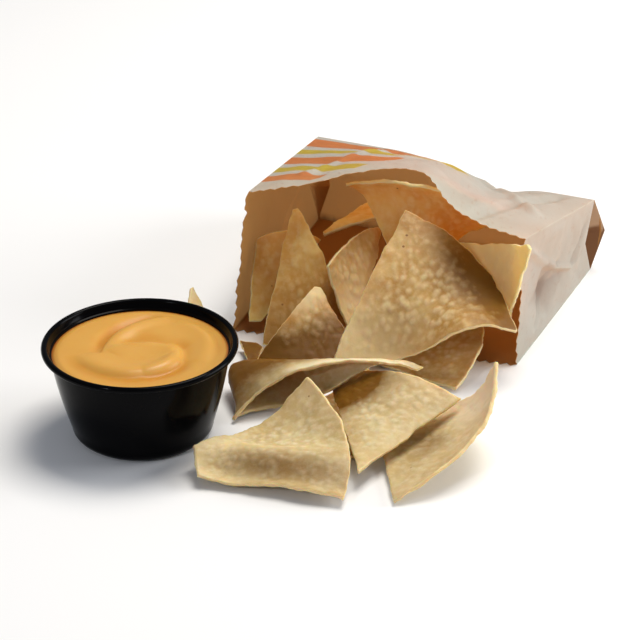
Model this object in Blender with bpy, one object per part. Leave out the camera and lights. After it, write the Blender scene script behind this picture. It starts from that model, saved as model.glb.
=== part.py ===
"""Nachos: tortilla chips in and around an open paper bag, with a cup of cheese dip beside them.

The bag lies on its side with its mouth to the front. Chips fill it and spill out on to the
table, and a small plastic cup of warm cheese dip stands against the spilled chips.

All sizes are in millimetres until MM turns them into metres. The layout frame has its origin at
the centre of the cup's base, with +X to the right, +Y to the back and +Z up. One empty carries
every piece and moves the whole so that the origin is at the middle of its footprint.
"""

import math
from dataclasses import dataclass

import bmesh
import bpy
from mathutils import Vector

MM = 0.001
WELD = 1e-3  # places this near become one
GAP = 0.3  # between a piece and the one it rests on

# Tortilla chips: each is a sixth of a round tortilla, fried until it curls.
CHIP_THICKNESS = 1.6
CHIP_ROWS = 8  # from the point to the round side
CHIP_COLUMNS = 6  # from one straight side to the other
CHIP_POINT = 0.05  # share of the length that is worn off the point
NORMAL_STEP = 0.01  # share of the chip over which its slope is taken
ROUND_SIDE = 0.1786  # handle length of a 60 degree arc, as a share of its chord
BELLY_REACH = 4.5  # power that brings a scooped chip's belly near its round side

# Paper bag: a flat folded bottom at the back, an open pinked mouth at the front.
PAPER = 0.5
BAG_END = (126.7, 165.9)  # middle of the folded bottom, on the table
BAG_TURN = 24.0  # degrees from +Y towards +X that the bag's length points
BAG_HALF_WIDTH = 65.5
BAG_END_LEFT_HEIGHT = 41.0
BAG_END_RIGHT_HEIGHT = 33.5
BAG_DIP = 3.5  # where the folded end has sunk
BAG_DIP_ASIDE = 24.0
BAG_DIP_WIDTH = 11.0
BAG_STEP_WIDTH = 60.0  # over which the end steps down from left to right
MOUTH_LEFT_SET = 117.0  # from the folded bottom to the mouth's lower corners
MOUTH_RIGHT_SET = 98.0
MOUTH_LEFT_WIDTH = 52.5  # from the bag's centre line to the mouth's lower corners
MOUTH_LEFT_HEIGHT = 60.0
MOUTH_RIGHT_HEIGHT = 55.0
MOUTH_HUMP = 7.0  # how far the top edge arches up
MOUTH_RECESS = 34.0  # how far the arch draws the top edge back
MOUTH_RECESS_PLACE = 0.49  # where along it the arch is deepest
MOUTH_RECESS_SHARES = (0.28, 0.19)  # how widely it spreads left and right of there
TOP_LEAN = 8.0  # how far the upper left corner stands behind the lower one
TOP_INSET = 3.5  # and how far in from it
PANEL_BULGE = 3.0
GUSSET_DENT = 2.0
POCKET_DEPTH = 10.0  # the folded gusset's pocket, along the bag
POCKET_DENT = 8.0  # and how far its fold goes in
END_BULGE = 7.0
TOOTH_DEPTH = 1.6
TOP_STEPS = 14  # mesh steps across the top or the bottom panel
SIDE_STEPS = 6  # mesh steps up a side panel
BAG_RINGS = 8
TEETH_PER_STEP = 3

# Cup: a thin black portion cup with a rolled rim, spun from its wall section.
CUP_STEPS = 44
CUP_FOOT = 26.2
FOOT_EDGE = ((1.6, 0.0), (0.4, 0.6))  # the rounded foot: how far in, how high
FOOT_TOP = 2.0
FLOOR_EDGE = 2.2  # the rounded corner between the floor and the wall, inside
CUP_MOUTH = 35.0
CUP_WALL = 0.9
CUP_FLOOR = 1.2
CUP_HEIGHT = 38.0
CUP_BOW = 0.9
RIM_TUBE = 1.25
RIM_TURNS = (-60, 0, 60, 120)  # degrees round the rolled rim
WALL_STEPS = 5

# Cheese dip: fills the cup to a little under its rim, with the folds it was poured in.
CHEESE_LEVEL = 33.4
CHEESE_RINGS = 9
CHEESE_FOOT = (1.5, 3.0)  # its rounded foot: how high, how far in
SWIRL_HEIGHT = 0.5
SWIRL_EYE = 6.0
SWIRL_PITCH = 17.0  # from one fold to the next, along a radius
SWIRL_CENTRE = (4.0, 5.0)


@dataclass(frozen=True)
class Chip:
    """One chip: its three corners, and how far each side and the middle stand off them.

    point is the 60 degree corner, left and right end the round side. Each pair lifts a side
    at its two thirds, along the normal of the plane through the corners. belly is how far a
    scooped chip's middle is pushed out, and round_side how far its round side bows.
    """

    name: str
    point: tuple
    left: tuple
    right: tuple
    lift_left: tuple = (0.0, 0.0)
    lift_round: tuple = (0.0, 0.0)
    lift_right: tuple = (0.0, 0.0)
    lift_middle: float = 0.0
    belly: tuple = (0.0, 0.0, 0.0)
    round_side: float = ROUND_SIDE
    worn: float = CHIP_POINT


CHIPS = (
    Chip(
        "chip_front",
        point=(9.5, -40.0, 10.5),
        left=(62.5, 5.0, 19.0),
        right=(75.5, -56.0, 2.0),
        lift_left=(0.0, 26.0),
        lift_round=(-0.5, -1.5),
        lift_right=(-3.5, 16.0),
        worn=0.20,
    ),
    Chip(
        "chip_on_table",
        point=(76.0, 27.5, 1.2),
        left=(38.5, -7.0, 1.2),
        right=(87.5, -23.5, 1.2),
        lift_left=(0.0, 0.5),
    ),
    Chip(
        "chip_arch",
        point=(114.0, 10.0, 17.0),
        left=(34.0, 4.0, 2.0),
        right=(61.0, 11.5, 3.6),
        lift_left=(-15.5, -20.5),
        lift_round=(-2.5, -2.5),
        lift_right=(-4.0, -19.0),
        belly=(-20.0, 19.0, 1.5),
        worn=0.10,
    ),
    Chip(
        "chip_flat",
        point=(71.0, 27.5, 7.5),
        left=(121.5, -3.0, 14.5),
        right=(81.5, -45.0, 7.5),
        lift_left=(-8.0, -11.0),
        lift_round=(1.5, 1.5),
        round_side=-0.05,
    ),
    Chip(
        "chip_spike",
        point=(88.5, 11.0, 2.0),
        left=(134.0, -6.5, 32.0),
        right=(94.5, -56.0, 1.5),
        lift_left=(14.0, 16.0),
        lift_round=(11.0, 3.0),
        lift_right=(-1.0, -1.0),
        lift_middle=7.0,
    ),
    Chip(
        "chip_slope",
        point=(66.5, 73.0, 25.5),
        left=(87.0, 41.5, 3.0),
        right=(42.0, 46.5, 3.5),
        lift_left=(1.0, 1.5),
        lift_round=(-3.5, -3.0),
        lift_right=(-2.5, -4.5),
    ),
    Chip(
        "chip_centre",
        point=(71.5, 36.0, 6.5),
        left=(102.5, 87.5, 51.0),
        right=(144.5, 40.5, 19.5),
        lift_left=(-7.0, -7.0),
        lift_round=(-1.0, 3.5),
        lift_right=(-28.0, 17.0),
    ),
    Chip(
        "chip_under",
        point=(75.0, 59.0, 1.5),
        left=(131.0, 83.5, 12.5),
        right=(121.0, 28.0, 1.5),
        lift_round=(-0.5, -1.5),
        lift_right=(0.5, 0.0),
    ),
    Chip(
        "chip_stub",
        point=(41.0, 44.0, 2.0),
        left=(44.5, 58.5, 3.0),
        right=(35.0, 63.5, 4.0),
    ),
    Chip(
        "chip_tall",
        point=(57.0, 101.0, 49.0),
        left=(79.5, 79.0, 4.5),
        right=(44.0, 63.0, 3.0),
        lift_left=(-9.0, -2.5),
        lift_round=(-4.5, -5.5),
        lift_right=(1.0, 1.0),
    ),
    Chip(
        "chip_wall",
        point=(38.5, 75.0, 0.5),
        left=(41.0, 98.0, 34.5),
        right=(68.0, 112.0, 27.0),
        lift_left=(2.5, 1.0),
        lift_right=(0.0, -1.0),
        worn=0.15,
    ),
    Chip(
        "chip_middle",
        point=(82.5, 63.0, 1.0),
        left=(70.5, 79.0, 30.5),
        right=(94.0, 115.5, 31.5),
        lift_left=(0.5, 0.5),
        lift_round=(-1.5, -2.0),
        round_side=0.12,
    ),
    Chip(
        "chip_rear",
        point=(67.5, 101.5, 34.0),
        left=(105.0, 151.5, 35.0),
        right=(122.0, 128.0, 38.0),
        lift_left=(-3.5, -1.0),
        lift_right=(-0.5, -2.0),
    ),
    Chip(
        "chip_lid",
        point=(108.5, 104.0, 16.0),
        left=(78.5, 109.5, 53.5),
        right=(147.0, 89.5, 45.0),
        lift_left=(-24.5, 21.0),
        lift_round=(-1.0, -6.5),
        lift_right=(13.5, 26.5),
    ),
    Chip(
        "chip_corner",
        point=(150.5, 45.5, 56.0),
        left=(117.5, 96.5, 33.5),
        right=(143.5, 54.0, 15.5),
        lift_left=(0.5, 0.5),
        lift_right=(0.0, 2.0),
    ),
    Chip(
        "chip_behind",
        point=(14.0, 86.5, 18.5),
        left=(26.5, 70.5, 3.0),
        right=(12.0, 53.0, 3.5),
        lift_left=(1.0, -1.0),
        lift_right=(-1.5, -2.0),
    ),
)


def clear_scene():
    """Remove every object of the scene."""
    for old in list(bpy.data.objects):
        bpy.data.objects.remove(old)


def material(name, colour, roughness):
    """A Principled material of one colour."""
    made = bpy.data.materials.new(name)
    made.use_nodes = True
    shader = made.node_tree.nodes["Principled BSDF"]
    shader.inputs["Base Color"].default_value = (*colour, 1.0)
    shader.inputs["Roughness"].default_value = roughness
    return made


def new_object(name, mesh_builder, finish, carrier, smooth_angle=40.0):
    """An object made from a bmesh in millimetres, smooth except at its sharp edges."""
    bmesh.ops.scale(mesh_builder, vec=(MM, MM, MM), verts=mesh_builder.verts)
    mesh = bpy.data.meshes.new(name)
    mesh_builder.to_mesh(mesh)
    mesh_builder.free()
    mesh.shade_smooth()
    mesh.set_sharp_from_angle(angle=math.radians(smooth_angle))
    mesh.materials.append(finish)
    made = bpy.data.objects.new(name, mesh)
    made.parent = carrier
    bpy.context.collection.objects.link(made)
    return made


# ---------------------------------------------------------------- chips


def chip_handles(chip):
    """The ten handles of the chip's curved triangle, keyed by their share of each corner."""
    point, left, right = Vector(chip.point), Vector(chip.left), Vector(chip.right)
    normal = (left - point).cross(right - point).normalized()
    side = right - left
    outward = (left + right) / 2 - point
    outward = (outward - outward.project(side)).normalized()
    arc = outward * chip.round_side * side.length
    handles = {
        "ppp": point,
        "lll": left,
        "rrr": right,
        "ppl": point.lerp(left, 1 / 3) + normal * chip.lift_left[0],
        "pll": point.lerp(left, 2 / 3) + normal * chip.lift_left[1],
        "llr": left.lerp(right, 1 / 3) + normal * chip.lift_round[0] + arc,
        "lrr": left.lerp(right, 2 / 3) + normal * chip.lift_round[1] + arc,
        "prr": right.lerp(point, 1 / 3) + normal * chip.lift_right[0],
        "ppr": right.lerp(point, 2 / 3) + normal * chip.lift_right[1],
    }
    sides = sum((handles[key] for key in ("ppl", "pll", "llr", "lrr", "prr", "ppr")), Vector()) / 6
    corners = (point + left + right) / 3
    handles["plr"] = sides + (sides - corners) / 2 + normal * chip.lift_middle
    return handles


def chip_point(chip, handles, reach, across):
    """A place on the chip, reach along it from its point and across it from left to right."""
    shares = {"p": 1 - reach, "l": reach * (1 - across), "r": reach * across}
    scoop = math.sin(math.pi * across) * math.sin(math.pi * reach**BELLY_REACH)
    place = Vector(chip.belly) * scoop
    for key, handle in handles.items():
        ways = math.factorial(3)
        weight = 1.0
        for corner, share in shares.items():
            power = key.count(corner)
            ways /= math.factorial(power)
            weight *= share**power
        place += handle * ways * weight
    return place


def chip_normal(chip, handles, reach, across):
    """The chip's unit normal there, from the places a little to each side."""
    step = NORMAL_STEP
    near, far = (chip_point(chip, handles, reach + way, across) for way in (-step, step))
    left, right = (chip_point(chip, handles, reach, across + way) for way in (-step, step))
    along, aside = far - near, right - left
    return along.cross(aside).normalized()


def build_chip(chip, finish, carrier):
    """A curled sheet of even thickness over the chip's curved triangle."""
    handles = chip_handles(chip)
    build = bmesh.new()
    faces = {1: [], -1: []}
    for row in range(CHIP_ROWS + 1):
        reach = chip.worn + (1 - chip.worn) * row / CHIP_ROWS
        for face, rows in faces.items():
            places = []
            for column in range(CHIP_COLUMNS + 1):
                across = column / CHIP_COLUMNS
                off = chip_normal(chip, handles, reach, across) * face * CHIP_THICKNESS / 2
                places.append(build.verts.new(chip_point(chip, handles, reach, across) + off))
            rows.append(places)
    for face, rows in faces.items():
        for near, far in zip(rows, rows[1:]):
            for column in range(CHIP_COLUMNS):
                build.faces.new((near[column], far[column], far[column + 1], near[column + 1])[::face])
    loops = [chip_outline(rows) for rows in faces.values()]
    for index in range(len(loops[0])):
        after = (index + 1) % len(loops[0])
        build.faces.new((loops[0][after], loops[0][index], loops[1][index], loops[1][after]))
    return new_object(chip.name, build, finish, carrier)


def chip_outline(rows):
    """The vertices round a grid of rows, in order."""
    left = [row[0] for row in rows]
    right = [row[-1] for row in rows]
    return left + rows[-1][1:-1] + right[::-1] + rows[0][1:-1][::-1]


# ---------------------------------------------------------------- bag


def bag_to_layout(along, aside, height):
    """A place in the bag's own directions, from the middle of its folded bottom."""
    turn = math.radians(BAG_TURN)
    x = BAG_END[0] + along * math.sin(turn) + aside * math.cos(turn)
    y = BAG_END[1] + along * math.cos(turn) - aside * math.sin(turn)
    return Vector((x, y, height))


def mix(start, end, share):
    """The value at a share of the way from start to end."""
    return start + (end - start) * share


def bell(offset):
    """A smooth bump, 1 at no offset."""
    return math.exp(-(offset**2))


def ease(share):
    """A smooth step from 0 to 1."""
    share = min(1.0, max(0.0, share))
    return share * share * (3 - 2 * share)


def end_height(aside):
    """The folded end's height, which steps down to the right and sinks in one place."""
    high = mix(BAG_END_LEFT_HEIGHT, BAG_END_RIGHT_HEIGHT, ease(0.5 + aside / BAG_STEP_WIDTH))
    return high - BAG_DIP * bell((aside - BAG_DIP_ASIDE) / BAG_DIP_WIDTH)


def ring_shares():
    """The places round a ring as (panel, share along it), clockwise seen from the mouth."""
    panels = (("left", SIDE_STEPS), ("top", TOP_STEPS), ("right", SIDE_STEPS), ("bottom", TOP_STEPS))
    return [(panel, step / steps) for panel, steps in panels for step in range(steps)]


def mouth_place(panel, share):
    """(along, aside, height) on the mouth's edge."""
    left_top = (-MOUTH_LEFT_SET + TOP_LEAN, -MOUTH_LEFT_WIDTH + TOP_INSET, MOUTH_LEFT_HEIGHT)
    right_top = (-MOUTH_RIGHT_SET + TOP_LEAN / 2, BAG_HALF_WIDTH, MOUTH_RIGHT_HEIGHT)
    left_foot = (-MOUTH_LEFT_SET, -MOUTH_LEFT_WIDTH, 0.0)
    right_foot = (-MOUTH_RIGHT_SET, BAG_HALF_WIDTH, 0.0)
    ends = {
        "left": (left_foot, left_top),
        "top": (left_top, right_top),
        "right": (right_top, right_foot),
        "bottom": (right_foot, left_foot),
    }[panel]
    along, aside, height = (mix(start, end, share) for start, end in zip(*ends))
    if panel == "top":
        offset = share - MOUTH_RECESS_PLACE
        along += MOUTH_RECESS * bell(offset / MOUTH_RECESS_SHARES[offset > 0])
        height += MOUTH_HUMP * math.sin(math.pi * share)
    return along, aside, height


def end_place(panel, share):
    """(along, aside, height) on the far end of the four panels."""
    half = BAG_HALF_WIDTH
    corners = {
        "left": ((-half, 0.0), (-half, end_height(-half))),
        "top": ((-half, 0.0), (half, 0.0)),
        "right": ((half, end_height(half)), (half, 0.0)),
        "bottom": ((half, 0.0), (-half, 0.0)),
    }[panel]
    aside, height = (mix(start, end, share) for start, end in zip(*corners))
    if panel == "top":
        height = end_height(aside)
    along = 0.0
    if panel in ("left", "right"):
        along = -POCKET_DEPTH * (1 - abs(2 * share - 1))
    return along, aside, height


def wall_place(panel, share, reach):
    """A place on the bag's wall, reach from the mouth (0) to the far end (1)."""
    along, aside, height = (
        mix(start, end, reach) for start, end in zip(mouth_place(panel, share), end_place(panel, share))
    )
    swell = math.sin(math.pi * reach) * math.sin(math.pi * share)
    if panel == "top":
        height += PANEL_BULGE * swell
    elif panel == "left":
        aside += GUSSET_DENT * swell
    elif panel == "right":
        aside -= GUSSET_DENT * swell
    return bag_to_layout(along, aside, height)


def pocket_place(panel, share, inward, outward):
    """A place in the folded gusset: inward at its fold, outward along the bag."""
    along, aside, height = end_place(panel, share)
    if panel in ("left", "right"):
        depth = 1 - abs(2 * share - 1)
        towards = 1 if panel == "left" else -1
        aside += towards * inward * depth
        along += outward * depth
    return bag_to_layout(along, aside, height)


def build_bag(finish, carrier):
    """The bag's outer skin, thickened inwards by the paper."""
    build = bmesh.new()
    shares = ring_shares()
    rings = []
    for index in range(1, BAG_RINGS + 1):
        reach = index / BAG_RINGS
        rings.append([build.verts.new(wall_place(panel, share, reach)) for panel, share in shares])
    folds = ((POCKET_DENT, POCKET_DEPTH / 2), (-END_BULGE / 2, POCKET_DEPTH + END_BULGE))
    for inward, outward in folds:
        rings.append(
            [build.verts.new(pocket_place(panel, share, inward, outward)) for panel, share in shares]
        )
    for near, far in zip(rings, rings[1:]):
        bridge(build, near, far)
    add_pinked_edge(build, rings[0], shares)
    close_end(build, rings[-1])
    bmesh.ops.remove_doubles(build, verts=build.verts, dist=WELD)
    bmesh.ops.recalc_face_normals(build, faces=build.faces)
    lowest = min(build.faces, key=lambda face: face.calc_center_median().z)
    if lowest.normal.z > 0:
        bmesh.ops.reverse_faces(build, faces=build.faces)
    bag = new_object("bag", build, finish, carrier, smooth_angle=30.0)
    paper = bag.modifiers.new("paper", "SOLIDIFY")
    paper.thickness = PAPER * MM
    paper.offset = -1.0
    return bag


def bridge(build, near, far):
    """Quads between two rings of equal length."""
    for index in range(len(near)):
        after = (index + 1) % len(near)
        corners = [near[index], near[after], far[after], far[index]]
        build.faces.new(list(dict.fromkeys(corners)))


def add_pinked_edge(build, ring, shares):
    """The strip from the first ring to the mouth, whose cut edge is a row of teeth."""
    edge = []
    count = len(shares)
    for index in range(count * TEETH_PER_STEP):
        step, part = divmod(index, TEETH_PER_STEP)
        panel, share = shares[step]
        steps = TOP_STEPS if panel in ("top", "bottom") else SIDE_STEPS
        share += part / TEETH_PER_STEP / steps
        reach = TOOTH_DEPTH * (index % 2) / MOUTH_RIGHT_SET
        edge.append(build.verts.new(wall_place(panel, share, reach)))
    for index in range(count):
        after = (index + 1) % count
        cut = [edge[(index * TEETH_PER_STEP + part) % len(edge)] for part in range(TEETH_PER_STEP + 1)]
        build.faces.new((ring[index], cut[0], cut[1]))
        build.faces.new((ring[index], cut[1], cut[2], ring[after]))
        build.faces.new((ring[after], cut[2], cut[3]))


def close_end(build, ring):
    """The folded bottom: the ring's upper and lower halves meet it at a crease across the end."""
    half = SIDE_STEPS // 2
    ordered = ring[half:] + ring[:half]
    size = len(ring) // 2
    upper = ordered[: size + 1]
    lower = [ordered[0]] + ordered[: size - 1 : -1]
    outward = bag_to_layout(END_BULGE, 0, 0) - bag_to_layout(0, 0, 0)
    crease = [upper[0]]
    for index in range(1, size):
        middle = (upper[index].co + lower[index].co) / 2
        spread = min(1.0, index / half, (size - index) / half)
        crease.append(build.verts.new(middle + outward * spread**2))
    crease.append(upper[-1])
    for index in range(size):
        for rail in (upper, lower):
            corners = [rail[index], rail[index + 1], crease[index + 1], crease[index]]
            build.faces.new(list(dict.fromkeys(corners)))


# ---------------------------------------------------------------- cup and cheese


def cup_radius(height):
    """The outside radius of the cup's wall, which bows out a little half way up."""
    share = height / CUP_HEIGHT
    return mix(CUP_FOOT, CUP_MOUTH, share) + CUP_BOW * math.sin(math.pi * share)


def cup_section():
    """(radius, height) round the cup's wall, from its floor outside to its floor inside."""
    outside = [(CUP_FOOT - inwards, height) for inwards, height in FOOT_EDGE]
    shoulder = CUP_HEIGHT - 2 * RIM_TUBE
    for step in range(WALL_STEPS + 1):
        height = mix(FOOT_TOP, shoulder, step / WALL_STEPS)
        outside.append((cup_radius(height), height))
    rim = []
    rim_radius = cup_radius(shoulder) + RIM_TUBE
    for turn in RIM_TURNS:
        angle = math.radians(turn)
        rim.append(
            (
                rim_radius + RIM_TUBE * math.cos(angle),
                CUP_HEIGHT - RIM_TUBE + RIM_TUBE * math.sin(angle),
            )
        )
    inside = [(radius - CUP_WALL, height) for radius, height in outside[: len(FOOT_EDGE) - 1 : -1]]
    inside.append((CUP_FOOT - FLOOR_EDGE, CUP_FLOOR))
    return outside + rim + inside


def build_cup(finish, carrier):
    """The cup, spun round its axis and closed by its two floor discs."""
    build = bmesh.new()
    section = [build.verts.new((radius, 0.0, height)) for radius, height in cup_section()]
    edges = [build.edges.new(pair) for pair in zip(section, section[1:])]
    bmesh.ops.spin(
        build, geom=section + edges, cent=(0, 0, 0), axis=(0, 0, 1), angle=2 * math.pi, steps=CUP_STEPS
    )
    bmesh.ops.remove_doubles(build, verts=build.verts, dist=WELD)
    bmesh.ops.holes_fill(build, edges=[edge for edge in build.edges if edge.is_boundary])
    bmesh.ops.triangulate(build, faces=[face for face in build.faces if len(face.verts) > 4])
    bmesh.ops.recalc_face_normals(build, faces=build.faces)
    return new_object("cup", build, finish, carrier)


def cheese_height(radius, angle):
    """The dip's surface: a spiral fold round a point off the middle, flat at the wall."""
    edge = cup_radius(CHEESE_LEVEL) - CUP_WALL - GAP
    x = radius * math.cos(angle) - SWIRL_CENTRE[0]
    y = radius * math.sin(angle) - SWIRL_CENTRE[1]
    from_swirl, round_swirl = math.hypot(x, y), math.atan2(y, x)
    fold = math.sin(2 * math.pi * from_swirl / SWIRL_PITCH - round_swirl)
    calm = max(0.0, 1 - (radius / edge) ** 4) * min(1.0, from_swirl / SWIRL_EYE)
    return CHEESE_LEVEL + SWIRL_HEIGHT * fold * calm


def build_cheese(finish, carrier):
    """The dip as one solid, from just above the cup's floor to its folded surface."""
    build = bmesh.new()
    foot = CUP_FLOOR + GAP
    levels = [foot, foot + CHEESE_FOOT[0], CHEESE_LEVEL / 2, CHEESE_LEVEL]
    inset = [CHEESE_FOOT[1], CUP_WALL + GAP, CUP_WALL + GAP, CUP_WALL + GAP]
    rings = []
    for level, inwards in zip(levels, inset):
        radius = cup_radius(level) - inwards
        rings.append([(radius, level)] * CUP_STEPS)
    edge = cup_radius(CHEESE_LEVEL) - CUP_WALL - GAP
    for index in range(CHEESE_RINGS - 1, 0, -1):
        rings.append([(edge * index / CHEESE_RINGS, None)] * CUP_STEPS)
    placed = []
    for ring in rings:
        corners = []
        for step, (radius, level) in enumerate(ring):
            angle = 2 * math.pi * step / CUP_STEPS
            height = cheese_height(radius, angle) if level is None else level
            corners.append(build.verts.new((radius * math.cos(angle), radius * math.sin(angle), height)))
        placed.append(corners)
    for near, far in zip(placed, placed[1:]):
        bridge(build, near, far)
    for ring, height in ((placed[0], foot), (placed[-1], cheese_height(0.0, 0.0))):
        middle = build.verts.new((0.0, 0.0, height))
        for step in range(CUP_STEPS):
            build.faces.new((ring[step], ring[(step + 1) % CUP_STEPS], middle))
    bmesh.ops.recalc_face_normals(build, faces=build.faces)
    return new_object("cheese", build, finish, carrier)


# ---------------------------------------------------------------- the whole


def centre_on_footprint(carrier, pieces):
    """Move the carrier so that the origin is under the middle of the pieces, on the table."""
    bpy.context.view_layer.update()
    places = [piece.matrix_world @ vertex.co for piece in pieces for vertex in piece.data.vertices]
    lows = [min(place[axis] for place in places) for axis in range(3)]
    highs = [max(place[axis] for place in places) for axis in range(3)]
    carrier.location = (-(lows[0] + highs[0]) / 2, -(lows[1] + highs[1]) / 2, -lows[2])


def main():
    """Build every piece on one carrier and centre it."""
    clear_scene()
    carrier = bpy.data.objects.new("serving", None)
    bpy.context.collection.objects.link(carrier)
    paper = material("kraft_paper", (0.60, 0.50, 0.38), 0.85)
    corn = material("fried_corn_tortilla", (0.62, 0.44, 0.20), 0.75)
    plastic = material("black_polypropylene", (0.006, 0.006, 0.007), 0.22)
    dip = material("cheese_dip", (0.75, 0.34, 0.07), 0.30)
    pieces = [build_chip(chip, corn, carrier) for chip in CHIPS]
    pieces.append(build_bag(paper, carrier))
    pieces.append(build_cup(plastic, carrier))
    pieces.append(build_cheese(dip, carrier))
    centre_on_footprint(carrier, pieces)


main()
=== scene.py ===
"""Nachos: the look of the tortilla chips, their kraft paper bag and the cup of cheese dip.

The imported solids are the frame. Each piece here stands for one or more of them, stays where they
are and gets the shape and finish of the real thing: blistered chips with thin uneven edges, a bag
of crumpled paper with a pinked mouth and a printed panel, a glossy portion cup with a rolled rim,
and a thick dip with the folds it was poured in.

Lengths in the dataclasses are millimetres, and MM turns them into metres. The layout frame of the
bag has its origin at the middle of the cup's base, as the solids have.
"""

import logging
import math
from dataclasses import dataclass
from enum import Enum
from typing import Any, Callable

import bmesh
import bpy
import numpy as np
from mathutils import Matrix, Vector, noise


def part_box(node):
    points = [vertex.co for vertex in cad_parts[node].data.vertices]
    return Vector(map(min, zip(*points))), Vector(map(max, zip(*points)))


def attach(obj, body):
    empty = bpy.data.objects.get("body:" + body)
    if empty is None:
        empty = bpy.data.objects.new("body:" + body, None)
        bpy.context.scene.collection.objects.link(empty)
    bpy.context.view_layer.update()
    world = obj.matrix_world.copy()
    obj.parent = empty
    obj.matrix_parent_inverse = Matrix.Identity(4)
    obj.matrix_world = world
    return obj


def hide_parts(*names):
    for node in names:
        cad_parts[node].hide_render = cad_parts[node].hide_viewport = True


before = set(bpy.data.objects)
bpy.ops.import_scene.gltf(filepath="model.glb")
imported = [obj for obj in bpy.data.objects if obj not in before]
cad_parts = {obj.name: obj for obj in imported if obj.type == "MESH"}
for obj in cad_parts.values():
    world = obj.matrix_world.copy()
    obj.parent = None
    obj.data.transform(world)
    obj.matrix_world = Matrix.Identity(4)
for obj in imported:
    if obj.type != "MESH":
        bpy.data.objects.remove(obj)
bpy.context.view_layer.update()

LOG = logging.getLogger("nachos")
MM = 0.001
ROOT = "root"
Colour = tuple[float, float, float, float]


# ---------------------------------------------------------------- shared helpers


def linear(hex_colour: str) -> Colour:
    """Turn an sRGB hex colour into linear RGBA.

    Args:
        hex_colour: Six hex digits with a leading hash.

    Returns:
        The linear colour with full alpha.
    """
    channels = [int(hex_colour[start : start + 2], 16) / 255 for start in (1, 3, 5)]
    bent = [c / 12.92 if c <= 0.04045 else ((c + 0.055) / 1.055) ** 2.4 for c in channels]
    return (bent[0], bent[1], bent[2], 1.0)


def add_node(tree: bpy.types.NodeTree, kind: str, links: dict[Any, Any], **settings: Any) -> bpy.types.Node:
    """Add a node with its settings, and set or link its inputs.

    Args:
        tree: The tree that gets the node.
        kind: The node's type name.
        links: A value or an output socket for each input, by name or index.
        **settings: Attributes of the node itself.

    Returns:
        The new node.
    """
    node = tree.nodes.new(kind)
    for name, value in settings.items():
        setattr(node, name, value)
    for key, value in links.items():
        if isinstance(value, bpy.types.NodeSocket):
            tree.links.new(value, node.inputs[key])
        else:
            node.inputs[key].default_value = value
    return node


def new_material(name: str) -> tuple[bpy.types.Material, bpy.types.NodeTree]:
    """Make an empty node material and return it with its tree."""
    made = bpy.data.materials.new(name)
    made.use_nodes = True
    made.node_tree.nodes.clear()
    return made, made.node_tree


def show_surface(tree: bpy.types.NodeTree, shader: bpy.types.NodeSocket) -> None:
    """Link a shader to the material's output."""
    add_node(tree, "ShaderNodeOutputMaterial", {"Surface": shader})


def mix_colour(
    tree: bpy.types.NodeTree, share: bpy.types.NodeSocket, first: Any, second: Any
) -> bpy.types.NodeSocket:
    """Blend from the first colour to the second by a share, and return the result socket."""
    node = add_node(tree, "ShaderNodeMix", {0: share, 6: first, 7: second}, data_type="RGBA")
    return node.outputs[2]


def maths(tree: bpy.types.NodeTree, operation: str, *values: Any) -> bpy.types.NodeSocket:
    """Work out one sum of sockets and numbers, kept between 0 and 1, and return it."""
    return add_node(
        tree, "ShaderNodeMath", dict(enumerate(values)), operation=operation, use_clamp=True
    ).outputs[0]


def ramp(tree: bpy.types.NodeTree, value: bpy.types.NodeSocket, low: float, high: float) -> bpy.types.NodeSocket:
    """Return a smooth 0 to 1 step of a value between two limits."""
    node = add_node(
        tree, "ShaderNodeMapRange", {0: value, 1: low, 2: high}, interpolation_type="SMOOTHSTEP"
    )
    return node.outputs[0]


def mesh_object(name: str, points: np.ndarray, faces: list[tuple[int, ...]], sharp_degrees: float) -> bpy.types.Object:
    """Make an object from points in metres and faces, smooth except at its sharp edges.

    Args:
        name: The piece's name.
        points: One row of three coordinates for each vertex.
        faces: Vertex numbers of each face, facing outwards.
        sharp_degrees: The angle past which an edge stays sharp.

    Returns:
        The new object, linked to the scene.
    """
    mesh = bpy.data.meshes.new(name)
    mesh.from_pydata(points.tolist(), [], faces)
    mesh.validate()
    mesh.shade_smooth()
    mesh.set_sharp_from_angle(angle=math.radians(sharp_degrees))
    made = bpy.data.objects.new(name, mesh)
    bpy.context.scene.collection.objects.link(made)
    return made


def point_attribute(mesh: bpy.types.Mesh, name: str, values: np.ndarray) -> None:
    """Store one number or one vector for each vertex of a mesh."""
    kind, key = ("FLOAT", "value") if values.ndim == 1 else ("FLOAT_VECTOR", "vector")
    made = mesh.attributes.new(name, kind, "POINT")
    made.data.foreach_set(key, np.ascontiguousarray(values, np.float32).ravel())


def settle(piece: bpy.types.Object, slot: str, *nodes: str) -> None:
    """Tie a piece to the body, and hide and log the solids that it stands for."""
    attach(piece, ROOT)
    if nodes:
        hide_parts(*nodes)
    LOG.info("%s: %d faces, stands for %s", piece.name, len(piece.data.polygons), ", ".join(nodes) or "nothing")


def ease(share: Any) -> Any:
    """A smooth step from 0 to 1, for numbers and arrays."""
    share = np.clip(share, 0.0, 1.0)
    return share * share * (3 - 2 * share)


def bell(offset: Any) -> Any:
    """A smooth bump that is 1 at no offset, for numbers and arrays."""
    return np.exp(-np.square(offset))


# ---------------------------------------------------------------- tortilla chips


class FryAndBagLight(Enum):
    """How deep a colour a chip took in the oil, and painted light: the golden and amber tones also paint the shade and
    warm glow that chips get in the bag and under other chips.
    """

    PALE = "pale"
    GOLDEN = "golden"
    AMBER = "amber"


class Side(Enum):
    """One of a chip's three sides: the two straight cuts and the round rim of the tortilla."""

    LEFT = "left"
    ROUND = "round"
    RIGHT = "right"


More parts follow.
